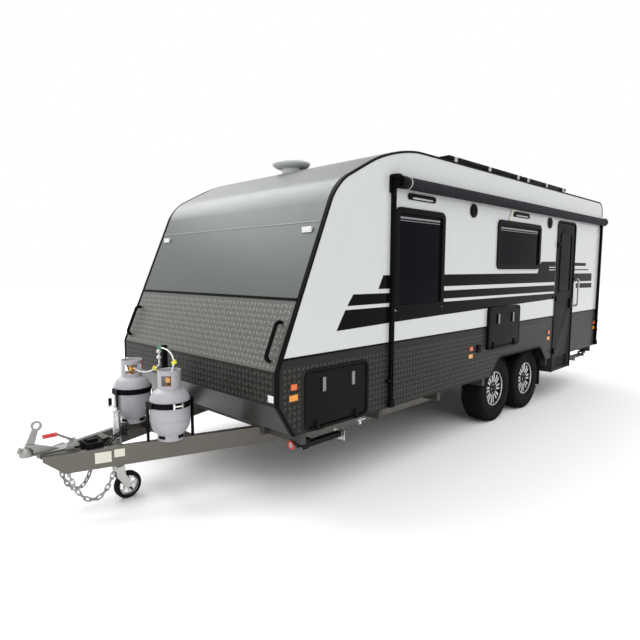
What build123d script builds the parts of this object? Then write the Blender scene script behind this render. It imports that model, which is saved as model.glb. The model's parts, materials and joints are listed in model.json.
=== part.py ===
from build123d import *
import math
import os

# A tandem-axle travel caravan, in millimetres.
# Stations along X count forward from the rear wall, Y is to the left (door side), Z is up from the ground.
# When a piece is saved it is shifted so that the origin lies under the middle of the overall length.

# Body shell
BODY_LENGTH = 6850
BODY_WIDTH = 2400
BODY_HEIGHT = 2260
FLOOR_LINE = 620
WALL = 35
CLADDING_HEIGHT = 580
UNDERCUT = 150
UNDERCUT_RISE = 240
NOSE_FACE = 255
FRONT_RAKE = 23.46
BROW_DROP = 380
SHOULDER_ANGLE = 27
BROW_RADIUS = 430
CROWN_RADIUS = 1600
REAR_TOP_RADIUS = 180
NOSE_RADIUS = 30
FRONT_SEAM_RISE = 505
ROOF_JOINT_MARGIN = 19

# Chassis and drawbar
RAIL_WIDTH = 50
RAIL_DEPTH = 100
RAIL_INSET = 440
RAIL_SETBACK = 210
RAIL_TAIL = 40
BUMPER_DEPTH = 50
BUMPER_HEIGHT = 75
BUMPER_INSET = 200
BUMPER_DROP = 12
CROSS_WIDTH = 50
CROSS_LIFT = 20
CROSS_END = 120
REAR_CROSSES = 3
FRONT_CROSSES = 4
DRAWBAR_DEPTH = 150
DRAWBAR_REACH = 1210
DRAWBAR_TIP_Y = 47
DRAWBAR_ANGLE = 17.74
DRAWBAR_TAIL = 170
TIP_FACE = 40
TIP_CUT = 140
CROSS_PLATE_DEPTH = 90
NOSE_PLATE = 10

# Wheels
WHEEL_X = 2820
TYRE_GAP = 70
TYRE_RADIUS = 400
TYRE_WIDTH = 265
TYRE_INSET = 100
SHOULDER_DROP = 24
SHOULDER_WIDTH = 38
RIM_RADIUS = 212
RIM_LIP = 16
RIM_WIDTH = 225
DISC_SETBACK = 42
SPOKE_COUNT = 8
SPOKE_WEB = 24
HUB_RADIUS = 66
HUB_SETBACK = 6
SPINDLE_RADIUS = 30
AXLE_SIZE = 60
SPRING_WIDTH = 60
SPRING_LEAF = 18
SPRING_STACK = 34
HANGER_LENGTH = 124
HANGER_INSET = 20
HANGER_PLATE = 8
HANGER_DEPTH = 60
FIT = 0.3

# Wheel arch, wheel box and mudflap
ARCH_CLEARANCE = 12
ARCH_SLOPE = 245
ARCH_RADIUS = 110
BOX_END_CLEARANCE = 15
BOX_TOP_CLEARANCE = 95
BOX_INNER_GAP = 35
BOX_SHEET = 15
FLAP_THICKNESS = 8
FLAP_BOTTOM = 250

# Entry door and step well
DOOR_CENTRE = 1485
DOOR_WIDTH = 640
DOOR_SILL_DROP = 202
DOOR_HEADROOM = 412
DOOR_RADIUS = 55
LEAF_CLEARANCE = 8
FRAME_WIDTH = 22
FRAME_PROUD = 10
LIGHT_WIDTH = 400
LIGHT_HEIGHT = 800
LIGHT_DROP = 138
LIGHT_RADIUS = 45
LIGHT_LIP = 10
VENT_WIDTH = 360
VENT_HEIGHT = 140
VENT_RISE = 57
VENT_DEPTH = 12
VENT_SLATS = 4
SLAT_HEIGHT = 10
LATCH_WIDTH = 70
LATCH_HEIGHT = 140
LATCH_PROUD = 22
LATCH_RISE = 937
LATCH_INSET = 60
STEP_WELL_DEPTH = 340
STEP_SHEET = 20

# Boot hatches and picnic table
HATCH_SETBACK = 635
HATCH_WIDTH = 680
HATCH_HEIGHT = 415
HATCH_RISE = 32
HATCH_RADIUS = 40
CATCH_WIDTH = 34
CATCH_HEIGHT = 110
CATCH_PROUD = 14
CATCH_DROP = 45
TABLE_AHEAD = 550
TABLE_WIDTH = 790
TABLE_HEIGHT = 476
TABLE_RISE = 320
TABLE_DEPTH = 32
TABLE_RAIL = 26
TABLE_RADIUS = 44
TABLE_LEAF = 24

# Hinges
KNUCKLE_RADIUS = 10
KNUCKLE_LENGTH = 34
KNUCKLE_GAP = 2
PIN_RADIUS = 5
STRAP = 10
STRAP_REACH = 45
HINGE_BASE = 18

# Windows
WINDOW_CLEARANCE = 31
WINDOW_SHARE = 0.4066
WINDOW_RADIUS = 40
WINDOW_LIP = 26
WINDOW_PROUD = 18
PANE_THICKNESS = 10

# Awning and roof fittings
AWNING_REAR = 75
AWNING_SETBACK = 1317
AWNING_DROP = 308
AWNING_RADIUS = 52
AWNING_GAP = 2
CAP_LENGTH = 70
CAP_RADIUS = 56
ARM_WIDTH = 34
ARM_DEPTH = 36
ARM_GROOVE = 14
ARM_GROOVE_DEPTH = 10
ARM_FOOT_RISE = 20
# Solar panels from front to rear: length of each
PANEL_LENGTHS = (1710, 1420)
PANEL_SETBACK = 650
PANEL_GAP = 50
PANEL_INSET = 120
PANEL_WIDTH = 660
PANEL_THICKNESS = 35
PANEL_LIFT = 65
PANEL_FOOT = 60
PANEL_FOOT_INSET = 120
DOME_PAST = 340
DOME_Y = -180
DOME_RADIUS = 200
DOME_HEIGHT = 66
DOME_BASE_RADIUS = 150
DOME_BASE_HEIGHT = 20
DOME_SKIRT = 120

# Grab handles
GRIP_BAR = 26
GRIP_REACH = 66
GRIP_BEND = 44
FRONT_GRIP_INSET = 110
FRONT_GRIP_LENGTH = 320
FRONT_GRIP_RISE = 200
DOOR_GRIP_PAST = 90
DOOR_GRIP_LENGTH = 416
DOOR_GRIP_RISE = 885

# Lamps and speakers
SIDE_LAMP = (56, 44, 14)
SIDE_REFLECTOR = (84, 46, 8)
LAMP_RISE = 372
REFLECTOR_RISE = 291
FRONT_LAMP_SETBACK = 150
MIDDLE_LAMP_AHEAD = 1290
DOOR_LAMP_AHEAD = 185
REAR_LAMP_AHEAD = 130
MARKER_SIZE = (100, 44, 18)
MARKER_INSET = 150
MARKER_DROP = 740
NOSE_REFLECTOR = (60, 52, 8)
NOSE_REFLECTOR_INSET = 70
TAIL_LAMP = (150, 100, 18)
TAIL_LAMP_RISE = 180
TAIL_LAMP_PITCH = 110
TAIL_LAMP_COUNT = 3
TAIL_LAMP_INSET = 165
TAIL_MARKER_DROP = 300
ANNEX_LIGHT = (440, 56, 16)
ANNEX_DROP = 402
SPEAKER_RADIUS = 70
SPEAKER_PROUD = 14
SPEAKER_DROP = 438

# Corner steadies
STEADY_FRONT_SETBACK = 370
STEADY_REAR = 230
STEADY_INSET = 130
STEADY_PIVOT_DROP = 48
STEADY_LENGTH = 430
STEADY_WIDTH = 56
STEADY_HEIGHT = 40
STEADY_WALL = 6
STEADY_FOOT = 120
STEADY_FOOT_HEIGHT = 86
STEADY_PIN = 9
STEADY_EAR = 10
STEADY_SCREW = 14

# Coupling, handbrake and jockey wheel
BALL_AHEAD = 90
BALL_RADIUS = 25
SOCKET_DEPTH = 42
COUPLING_RADIUS = 46
COUPLING_HEIGHT = 62
COUPLING_LENGTH = 300
COUPLING_FLANGE = 12
COUPLING_KNOB = 14
LEVER_RISE = 205
LEVER_LEAN = 75
LEVER_THICKNESS = 22
LEVER_RING = 36
BRAKE_SETBACK = 205
BRAKE_Y = 70
BRAKE_PLATE = 16
BRAKE_RISE = 135
BRAKE_REACH = 110
BRAKE_GRIP = 92
JOCKEY_AHEAD = 640
JOCKEY_TRAIL = 70
JOCKEY_TUBE_RADIUS = 30
JOCKEY_LEG_RADIUS = 24
JOCKEY_TUBE_BOTTOM = 305
JOCKEY_TUBE_LENGTH = 410
JOCKEY_LEG_LENGTH = 330
JOCKEY_CAP = 12
JOCKEY_CRANK = 110
JOCKEY_FORK_TOP = 285
JOCKEY_WHEEL_RADIUS = 110
JOCKEY_WHEEL_WIDTH = 58
JOCKEY_RIM_RADIUS = 78
JOCKEY_SPOKES = 5
JOCKEY_AXLE = 9
KING_PIN = 10
FORK_PLATE = 8
FORK_GAP = 6
FORK_CROWN = 34
CLAMP_HALF = 45
CLAMP_REACH = 40

# Gas bottles
BOTTLE_AHEAD = 350
BOTTLE_RADIUS = 155
BOTTLE_BARREL = 150
BOTTLE_DOME = 115
FOOT_RING_RADIUS = 105
FOOT_RING_HEIGHT = 45
COLLAR_RADIUS = 88
COLLAR_HEIGHT = 140
COLLAR_SHEET = 6
PORT_HEIGHT = 80
VALVE_RADIUS = 14
VALVE_WHEEL = 20
BAND_HEIGHT = 45
BAND_THICKNESS = 4
BAND_RISE = 265
POST_SIZE = 12
POST_WIDTH = 28
REGULATOR_BEHIND = 140
REGULATOR_POST = 40
REGULATOR_HEIGHT = 690
REGULATOR_RADIUS = 24
MANIFOLD_RADIUS = 10

# Hoses and cables
HOSE_RADIUS = 6
CABLE_RADIUS = 5
CABLE_SHIFT = (20, -12)
CABLE_COUNT = 3
CABLE_SECTION = 6
CLIP_LENGTH = 80
CLIP_WIDTH = 50
CLIP_HEIGHT = 26
CLIP_Z = 450
VALVE_STUB = 38
# Hose routes: points from the regulator's outlet to each bottle's valve, as (X, Y, Z) from the post's foot
LEFT_HOSE = ((45, 34, 675), (45, 92, 675), (44, 152, 664), (45, 206, 636), (53, 248, 594), (74, 277, 560),
             (101, 297, 525), (122, 309, 482))
RIGHT_HOSE = ((45, -30, 515), (50, -76, 484), (63, -130, 459), (82, -186, 445), (103, -241, 444),
              (123, -290, 456))
# Cable route across the drawbar from clip to clip, as (X, Y, Z) from the ground under the jockey tube
CABLE_ROUTE = ((-150, -222, CLIP_Z), (-150, -222, 495), (-143, -203, 535), (-131, -168, 566),
               (-116, -112, 580), (-98, -50, 586), (-72, 15, 585), (-25, 70, 578), (38, 103, 568),
               (98, 119, 553), (136, 126, 533), (156, 129, 495), (156, 129, CLIP_Z))

# Safety chains: distances along the rail back from its tip
CHAIN_FRONT = 165
CHAIN_REAR = 480
LINK_COUNT = 13
LINK_INNER = 44
LINK_WIRE = 10
LINK_WIDTH = 36
LINK_CORNER = 11
LINK_BITE = 0.9
CLEVIS_DROP = 14
CLEVIS_HALF = 25
CLEVIS_PLATE = 6

# Body lines worked out from the driving dimensions
HALF = BODY_WIDTH / 2
INNER_Y = HALF - WALL
ROOF_LINE = FLOOR_LINE + BODY_HEIGHT
CLADDING_TOP = FLOOR_LINE + CLADDING_HEIGHT
NOSE_LOW = FLOOR_LINE + UNDERCUT_RISE
NOSE_HIGH = NOSE_LOW + NOSE_FACE
FRONT_SEAM = NOSE_HIGH + FRONT_SEAM_RISE
RAKE_RUN = math.tan(math.radians(FRONT_RAKE))
BROW_Z = ROOF_LINE - BROW_DROP
BROW_X = BODY_LENGTH - RAKE_RUN * (BROW_Z - NOSE_HIGH)
CROWN_X = BROW_X - BROW_DROP / math.tan(math.radians(SHOULDER_ANGLE))
ROOF_JOINT = CROWN_X - CROWN_RADIUS * math.tan(math.radians(SHOULDER_ANGLE / 2)) - ROOF_JOINT_MARGIN

# Chassis lines
RAIL_Y = HALF - RAIL_INSET
RAIL_FRONT = BODY_LENGTH - RAIL_SETBACK
RAIL_BOTTOM = FLOOR_LINE - RAIL_DEPTH
REAR_END = -RAIL_TAIL - BUMPER_DEPTH
DRAWBAR_TIP = BODY_LENGTH + DRAWBAR_REACH
DRAWBAR_TOP = RAIL_BOTTOM
DRAWBAR_BOTTOM = DRAWBAR_TOP - DRAWBAR_DEPTH
DRAWBAR_SPREAD = math.tan(math.radians(DRAWBAR_ANGLE))
DECK = DRAWBAR_TOP + NOSE_PLATE
BALL_X = DRAWBAR_TIP + BALL_AHEAD
NOSE_TIP = BALL_X + COUPLING_RADIUS + COUPLING_KNOB
ORIGIN = (NOSE_TIP + REAR_END) / 2
SIDES = (("left", 1), ("right", -1))

# Wheel lines
AXLE_SPACING = 2 * TYRE_RADIUS + TYRE_GAP
AXLES = (("front", WHEEL_X + AXLE_SPACING / 2), ("rear", WHEEL_X - AXLE_SPACING / 2))
TYRE_OUTER_Y = HALF - TYRE_INSET
TYRE_INNER_Y = TYRE_OUTER_Y - TYRE_WIDTH
WHEEL_Y = TYRE_OUTER_Y - TYRE_WIDTH / 2
ARCH_TOP = 2 * TYRE_RADIUS + ARCH_CLEARANCE
BOX_HALF = AXLE_SPACING / 2 + TYRE_RADIUS + BOX_END_CLEARANCE
BOX_INNER_Y = TYRE_INNER_Y - BOX_INNER_GAP
BOX_TOP = 2 * TYRE_RADIUS + BOX_TOP_CLEARANCE + BOX_SHEET
ARCH_BOTTOM_HALF = BOX_HALF - WALL
ARCH_TOP_HALF = ARCH_BOTTOM_HALF - ARCH_SLOPE
HANGERS = [WHEEL_X + step * (AXLE_SPACING - HANGER_INSET) for step in (-1, 0, 1)]
DRAWBAR_REAR = HANGERS[-1] + HANGER_LENGTH / 2 + DRAWBAR_TAIL

# Door, hatch, table and window lines
DOOR_BOTTOM = FLOOR_LINE - DOOR_SILL_DROP
DOOR_TOP = ROOF_LINE - DOOR_HEADROOM
DOOR_REAR = DOOR_CENTRE - DOOR_WIDTH / 2
DOOR_FRONT = DOOR_CENTRE + DOOR_WIDTH / 2
LIGHT_Z = DOOR_TOP - LIGHT_DROP - LIGHT_HEIGHT / 2
VENT_Z = DOOR_BOTTOM + VENT_RISE + VENT_HEIGHT / 2
HATCH_CENTRE = BODY_LENGTH - HATCH_SETBACK
HATCH_BOTTOM = FLOOR_LINE + HATCH_RISE
TABLE_CENTRE = WHEEL_X + TABLE_AHEAD
TABLE_BOTTOM = FLOOR_LINE + TABLE_RISE
HINGE_OUT = FRAME_PROUD + KNUCKLE_RADIUS + KNUCKLE_GAP
HINGE_PAST = LEAF_CLEARANCE + FRAME_WIDTH / 2
# Windows on each side: (setback of the top edge below the roof, width, height)
FRONT_WINDOW = (530, 742, 850)
REAR_WINDOW = (513, 1137, 500)
AWNING_FRONT = BODY_LENGTH - AWNING_SETBACK
FRONT_WINDOW_X = AWNING_FRONT - WINDOW_CLEARANCE - WINDOW_LIP - FRONT_WINDOW[1] / 2
FRONT_WINDOW_REAR = FRONT_WINDOW_X - FRONT_WINDOW[1] / 2
REAR_WINDOW_X = DOOR_FRONT + WINDOW_SHARE * (FRONT_WINDOW_REAR - DOOR_FRONT)
REAR_WINDOW_FRONT = REAR_WINDOW_X + REAR_WINDOW[1] / 2
REAR_WINDOW_REAR = REAR_WINDOW_X - REAR_WINDOW[1] / 2
AWNING_Y = HALF + CAP_RADIUS + AWNING_GAP
AWNING_Z = ROOF_LINE - AWNING_DROP

# Drawbar fittings
BOTTLE_X = BODY_LENGTH + BOTTLE_AHEAD
BOTTLE_Y = DRAWBAR_TIP_Y + DRAWBAR_SPREAD * (DRAWBAR_TIP - BOTTLE_X)
REGULATOR_X = BOTTLE_X - REGULATOR_BEHIND
MANIFOLD_X = REGULATOR_X + REGULATOR_POST / 2 + REGULATOR_RADIUS + 1
JOCKEY_X = BODY_LENGTH + JOCKEY_AHEAD
BRAKE_X = DRAWBAR_TIP - BRAKE_SETBACK

os.makedirs("parts", exist_ok=True)


def span(centre, size):
    """The (low, high) pair of a length about its centre."""
    return (centre - size / 2, centre + size / 2)


def block(x, y, z):
    """A box from three (low, high) pairs, in either order."""
    centre = [(low + high) / 2 for low, high in (x, y, z)]
    size = [abs(high - low) for low, high in (x, y, z)]
    return Pos(*centre) * Box(*size)


def slab(sketch, y):
    """Extrude a sketch drawn as (X, Z) between two Y values."""
    return Pos(0, y[1], 0) * extrude(Plane.XZ * sketch, y[1] - y[0])


def outline(*points):
    """A closed straight-sided sketch."""
    return make_face(Polyline(*points, close=True))


def rod(start, end, radius):
    """A round bar between two points."""
    axis = Vector(*end) - Vector(*start)
    bar = Cylinder(radius, axis.length, align=(Align.CENTER, Align.CENTER, Align.MIN))
    return Plane(origin=start, z_dir=axis) * bar


def tube(start, end, radius, bore):
    """A round tube between two points."""
    return rod(start, end, radius) - rod(start, end, bore)


def turned(profile, centre, axis):
    """Revolve a sketch drawn as (radius, distance along the axis) about an axis through a centre."""
    return Plane(origin=centre, z_dir=axis) * revolve(Plane.XZ * profile, Axis.Z)


def spun(points, centre, axis):
    """Revolve straight-sided (radius, distance along the axis) points."""
    return turned(outline(*points), centre, axis)


def panel(centre_x, centre_z, width, height, radius):
    """A rounded rectangle drawn as (X, Z)."""
    return Pos(centre_x, centre_z) * RectangleRounded(width, height, radius)


def mirrored(shape):
    """The same piece on the other side of the van."""
    return mirror(shape, about=Plane.XZ)


def both(shape):
    """A piece on the left and its mirror image on the right."""
    return [shape, mirrored(shape)]


def save(name, *shapes):
    """Write one node, moved to the shared origin."""
    solids = [solid for shape in shapes for solid in shape.solids()]
    export_step(Pos(-ORIGIN, 0, 0) * Compound(solids), f"parts/{name}.step")


def tell(name, x, y, z):
    """Print a pivot or mount in the shared frame."""
    print("place", name, round(x - ORIGIN, 3), round(y, 3), round(z, 3))


def front_at(z):
    """Station of the raked front face at a height."""
    return BODY_LENGTH - RAKE_RUN * (z - NOSE_HIGH)


def rail_y(x):
    """Y of the left drawbar rail's centre line at a station ahead of the body."""
    return DRAWBAR_TIP_Y + DRAWBAR_SPREAD * (DRAWBAR_TIP - x)


def side_outline():
    """The side of the body, with the raked front, rounded brow and rounded rear top."""
    corners = (
        (BODY_LENGTH - UNDERCUT, FLOOR_LINE, NOSE_RADIUS),
        (BODY_LENGTH, NOSE_LOW, NOSE_RADIUS),
        (BODY_LENGTH, NOSE_HIGH, NOSE_RADIUS),
        (BROW_X, BROW_Z, BROW_RADIUS),
        (CROWN_X, ROOF_LINE, CROWN_RADIUS),
        (0, ROOF_LINE, REAR_TOP_RADIUS),
        (0, FLOOR_LINE, 0),
    )
    shape = outline(*[(x, z) for x, z, _ in corners])
    for x, z, radius in corners:
        if radius:
            corner = shape.vertices().sort_by_distance((x, z, 0))[0]
            shape = fillet(corner, radius)
    return shape


def arch_opening():
    """The wheel arch: a low trapezoid with rounded top corners, open at the bottom."""
    low = FLOOR_LINE - WALL
    arch = outline(
        (WHEEL_X - ARCH_BOTTOM_HALF, low),
        (WHEEL_X + ARCH_BOTTOM_HALF, low),
        (WHEEL_X + ARCH_TOP_HALF, ARCH_TOP),
        (WHEEL_X - ARCH_TOP_HALF, ARCH_TOP),
    )
    return fillet(arch.vertices().group_by(Axis.Y)[-1], ARCH_RADIUS)


def door_outline(margin):
    """The entry door with its rounded top, grown by a margin at the sides and top."""
    width = DOOR_WIDTH + 2 * margin
    height = DOOR_TOP - DOOR_BOTTOM + margin
    shape = Pos(DOOR_CENTRE, DOOR_BOTTOM + height / 2) * Rectangle(width, height)
    return fillet(shape.vertices().group_by(Axis.Y)[-1], DOOR_RADIUS + margin)


def hatch_outline(margin):
    """The boot hatch, grown by a margin."""
    middle = HATCH_BOTTOM + HATCH_HEIGHT / 2
    width = HATCH_WIDTH + 2 * margin
    height = HATCH_HEIGHT + 2 * margin
    return panel(HATCH_CENTRE, middle, width, height, HATCH_RADIUS + margin)


def window_places():
    """Each window's (centre station, centre height, width, height)."""
    places = []
    for x, (drop, width, height) in ((FRONT_WINDOW_X, FRONT_WINDOW), (REAR_WINDOW_X, REAR_WINDOW)):
        places.append((x, ROOF_LINE - drop - height / 2, width, height))
    return places


def make_shell():
    """Side walls with cladding below, and the panels between them."""
    body = side_outline()
    through = (INNER_Y - 1, HALF + 1)
    whole = slab(body, (INNER_Y, HALF))
    for x, z, width, height in window_places():
        whole -= slab(panel(x, z, width, height, WINDOW_RADIUS), through)
    whole -= slab(arch_opening(), through)
    whole -= slab(hatch_outline(LEAF_CLEARANCE), through)
    with_door = whole - slab(door_outline(LEAF_CLEARANCE), through)
    above = block((-1, BODY_LENGTH + 1), through, (CLADDING_TOP, ROOF_LINE + 1))
    save("side_wall_left", with_door & above)
    save("side_wall_right", mirrored(whole & above))
    save("side_claddings", with_door - above, mirrored(whole - above))

    across = (-INNER_Y, INNER_Y)
    ring = slab(body - offset(body, -WALL), across)
    nose = BODY_LENGTH - UNDERCUT - 4 * WALL
    rear_joint = ROOF_LINE - REAR_TOP_RADIUS
    floor_z = (FLOOR_LINE - 1, FLOOR_LINE + WALL)
    floor = ring & block((WALL, nose), across, floor_z)
    cut_z = (FLOOR_LINE - 2, FLOOR_LINE + WALL + 1)
    for bay in both(block(span(WHEEL_X, 2 * BOX_HALF), (BOX_INNER_Y, INNER_Y + 1), cut_z)):
        floor -= bay
    well_x = (DOOR_REAR - LEAF_CLEARANCE, DOOR_FRONT + LEAF_CLEARANCE)
    floor -= block(well_x, (HALF - STEP_WELL_DEPTH + STEP_SHEET, INNER_Y + 1), cut_z)
    save("floor_panel", floor)
    save("front_lower_panel", ring & block((nose, BODY_LENGTH + 1), across, (FLOOR_LINE - 1, FRONT_SEAM)))
    upper = block((ROOF_JOINT, BODY_LENGTH + 1), across, (FRONT_SEAM, ROOF_LINE + 1))
    save("front_upper_panel", ring & upper)
    save("roof_panel", ring & block((-1, ROOF_JOINT), across, (rear_joint, ROOF_LINE + 1)))
    save("rear_wall", ring & block((-1, WALL), across, (FLOOR_LINE - 1, rear_joint)))


def make_sheet_boxes():
    """Sheet boxes over the wheels, open below and at the arch, and the step well inside the entry door."""
    x = span(WHEEL_X, 2 * BOX_HALF)
    box = block(x, (BOX_INNER_Y, INNER_Y), (FLOOR_LINE, BOX_TOP))
    inner_x = (x[0] + BOX_SHEET, x[1] - BOX_SHEET)
    box -= block(inner_x, (BOX_INNER_Y + BOX_SHEET, INNER_Y + 1), (FLOOR_LINE - 1, BOX_TOP - BOX_SHEET))
    inside = (DOOR_REAR - LEAF_CLEARANCE, DOOR_FRONT + LEAF_CLEARANCE)
    outside = (inside[0] - STEP_SHEET, inside[1] + STEP_SHEET)
    back = HALF - STEP_WELL_DEPTH
    well = block(outside, (back, HALF), (DOOR_BOTTOM, FLOOR_LINE))
    well -= block(inside, (back + STEP_SHEET, HALF + 1), (DOOR_BOTTOM + STEP_SHEET, FLOOR_LINE + 1))
    well -= block(inside, (INNER_Y - LEAF_CLEARANCE, HALF + 1), (DOOR_BOTTOM - 1, FLOOR_LINE + 1))
    save("wheel_and_step_boxes", *both(box), well)


def make_windows():
    """Tinted panes in the wall openings. Returns the black frames outside them."""
    frames = []
    panes = []
    lip = 2 * WINDOW_LIP
    for x, z, width, height in window_places():
        outer = panel(x, z, width + lip, height + lip, WINDOW_RADIUS + WINDOW_LIP)
        inner = panel(x, z, width - lip, height - lip, WINDOW_RADIUS - WINDOW_LIP)
        glass = panel(x, z, width - 2 * FIT, height - 2 * FIT, WINDOW_RADIUS)
        frames += both(slab(outer - inner, (HALF, HALF + WINDOW_PROUD)))
        panes += both(slab(glass, (HALF - PANE_THICKNESS, HALF)))
    save("window_panes", *panes)
    return frames


def hinge_half(axis_point, axis, base):
    """A fixed lug with its pin: the lug fills the base box behind the axis."""
    start = Vector(*axis_point)
    along = Vector(*axis) * KNUCKLE_LENGTH
    pin = rod(start - along, start + along, PIN_RADIUS)
    return base + rod(start - along, start, KNUCKLE_RADIUS) + pin


def knuckle(axis_point, axis):
    """The moving knuckle that turns on the pin, and its bore."""
    start = Vector(*axis_point) + Vector(*axis) * FIT
    end = Vector(*axis_point) + Vector(*axis) * KNUCKLE_LENGTH
    return rod(start, end, KNUCKLE_RADIUS), rod(start, end, PIN_RADIUS + FIT)


def make_entry_door():
    """Door leaf with its light, low vent and latch. Returns the frame around it with its hinge lugs."""
    axis_x = DOOR_FRONT + HINGE_PAST
    axis_y = HALF + HINGE_OUT
    ring = door_outline(LEAF_CLEARANCE + FRAME_WIDTH) - door_outline(LEAF_CLEARANCE)
    frame = slab(ring, (HALF, HALF + FRAME_PROUD))
    leaf = slab(door_outline(0), (INNER_Y, HALF))
    light = panel(DOOR_CENTRE, LIGHT_Z, LIGHT_WIDTH, LIGHT_HEIGHT, LIGHT_RADIUS)
    leaf -= slab(light, (INNER_Y - 1, HALF + 1))
    leaf += slab(offset(light, LIGHT_LIP) - offset(light, -LIGHT_LIP), (HALF, HALF + LIGHT_LIP))
    leaf -= block(span(DOOR_CENTRE, VENT_WIDTH), (HALF - VENT_DEPTH, HALF + 1), span(VENT_Z, VENT_HEIGHT))
    pitch = VENT_HEIGHT / VENT_SLATS
    for slat in range(1, VENT_SLATS):
        z = VENT_Z - VENT_HEIGHT / 2 + slat * pitch
        leaf += block(span(DOOR_CENTRE, VENT_WIDTH), (HALF - VENT_DEPTH - 1, HALF - 2), span(z, SLAT_HEIGHT))
    latch_x = span(DOOR_REAR + LATCH_INSET, LATCH_WIDTH)
    latch_z = span(DOOR_BOTTOM + LATCH_RISE, LATCH_HEIGHT)
    leaf += block(latch_x, (HALF, HALF + LATCH_PROUD), latch_z)
    hinge_end = (DOOR_TOP - DOOR_BOTTOM) / 7
    for z in (DOOR_BOTTOM + hinge_end, (DOOR_BOTTOM + DOOR_TOP) / 2, DOOR_TOP - hinge_end):
        base = block(span(axis_x, HINGE_BASE), (HALF + FRAME_PROUD, axis_y), (z - KNUCKLE_LENGTH, z))
        frame += hinge_half((axis_x, axis_y, z), (0, 0, 1), base)
        barrel, bore = knuckle((axis_x, axis_y, z), (0, 0, 1))
        rise = (z + FIT, z + KNUCKLE_LENGTH)
        strap = block((DOOR_FRONT - STRAP_REACH, axis_x), (axis_y - STRAP, axis_y), rise)
        strap += block((DOOR_FRONT - STRAP_REACH, DOOR_FRONT), (HALF, axis_y), rise)
        leaf += (strap + barrel) - bore
    save("entry_door_leaf", leaf)
    glass = panel(DOOR_CENTRE, LIGHT_Z, LIGHT_WIDTH - 2 * FIT, LIGHT_HEIGHT - 2 * FIT, LIGHT_RADIUS)
    save("entry_door_glass", slab(glass, (HALF - PANE_THICKNESS, HALF)))
    tell("entry_door", axis_x, axis_y, (DOOR_BOTTOM + DOOR_TOP) / 2)
    return [frame]


def bottom_hinges(frame, leaf, centre, width, axis_y, axis_z, frame_face, leaf_face, leaf_bottom):
    """Two hinges along a leaf's bottom edge. Returns the frame and the leaf with their halves."""
    for x in (centre - width / 3, centre + width / 3):
        base = block((x - KNUCKLE_LENGTH, x), (frame_face, axis_y), span(axis_z, HINGE_BASE))
        frame += hinge_half((x, axis_y, axis_z), (1, 0, 0), base)
        barrel, bore = knuckle((x, axis_y, axis_z), (1, 0, 0))
        along = (x + FIT, x + KNUCKLE_LENGTH)
        top = leaf_bottom + STRAP_REACH
        strap = block(along, (axis_y - STRAP, axis_y), (axis_z, top))
        strap += block(along, (leaf_face, axis_y), (leaf_bottom, top))
        leaf += (strap + barrel) - bore
    return frame, leaf


def catches(centre, width, face, top):
    """Two upright catches near a leaf's top edge."""
    pieces = []
    for x in (centre - width / 4, centre + width / 4):
        pieces.append(block(span(x, CATCH_WIDTH), (face, face + CATCH_PROUD),
                            (top - CATCH_DROP - CATCH_HEIGHT, top - CATCH_DROP)))
    return pieces


def make_boot_hatches():
    """Flush hatches at the front of each side, hinged along the bottom. Returns their frames."""
    axis_y = HALF + HINGE_OUT
    axis_z = HATCH_BOTTOM - HINGE_PAST
    ring = hatch_outline(LEAF_CLEARANCE + FRAME_WIDTH) - hatch_outline(LEAF_CLEARANCE)
    frame = slab(ring, (HALF, HALF + FRAME_PROUD))
    leaf = slab(hatch_outline(0), (INNER_Y, HALF))
    frame, leaf = bottom_hinges(frame, leaf, HATCH_CENTRE, HATCH_WIDTH, axis_y, axis_z,
                                HALF + FRAME_PROUD, HALF, HATCH_BOTTOM)
    for catch in catches(HATCH_CENTRE, HATCH_WIDTH, HALF, HATCH_BOTTOM + HATCH_HEIGHT):
        leaf += catch
    save("boot_hatch_left", leaf)
    save("boot_hatch_right", mirrored(leaf))
    tell("boot_hatch", HATCH_CENTRE, axis_y, axis_z)
    return both(frame)


def make_picnic_table():
    """A table leaf that folds down from a shallow frame on the wall. Returns the frame."""
    middle = TABLE_BOTTOM + TABLE_HEIGHT / 2
    face = HALF + TABLE_DEPTH
    axis_y = face + KNUCKLE_RADIUS + KNUCKLE_GAP
    axis_z = TABLE_BOTTOM + TABLE_RAIL / 2
    inner_width = TABLE_WIDTH - 2 * TABLE_RAIL
    inner_height = TABLE_HEIGHT - 2 * TABLE_RAIL
    inner_radius = TABLE_RADIUS - TABLE_RAIL
    rails = panel(TABLE_CENTRE, middle, TABLE_WIDTH, TABLE_HEIGHT, TABLE_RADIUS)
    rails -= panel(TABLE_CENTRE, middle, inner_width, inner_height, inner_radius)
    frame = slab(rails, (HALF, face))
    clear = 2 * LEAF_CLEARANCE
    board = panel(TABLE_CENTRE, middle, inner_width - clear, inner_height - clear,
                  inner_radius - LEAF_CLEARANCE)
    leaf = slab(board, (face - TABLE_LEAF, face))
    leaf_bottom = middle - inner_height / 2 + LEAF_CLEARANCE
    leaf_top = middle + inner_height / 2 - LEAF_CLEARANCE
    frame, leaf = bottom_hinges(frame, leaf, TABLE_CENTRE, TABLE_WIDTH, axis_y, axis_z,
                                face, face, leaf_bottom)
    for catch in catches(TABLE_CENTRE, inner_width, face, leaf_top):
        leaf += catch
    save("picnic_table_leaf", leaf)
    tell("picnic_table", TABLE_CENTRE, axis_y, axis_z)
    return [frame]


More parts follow.
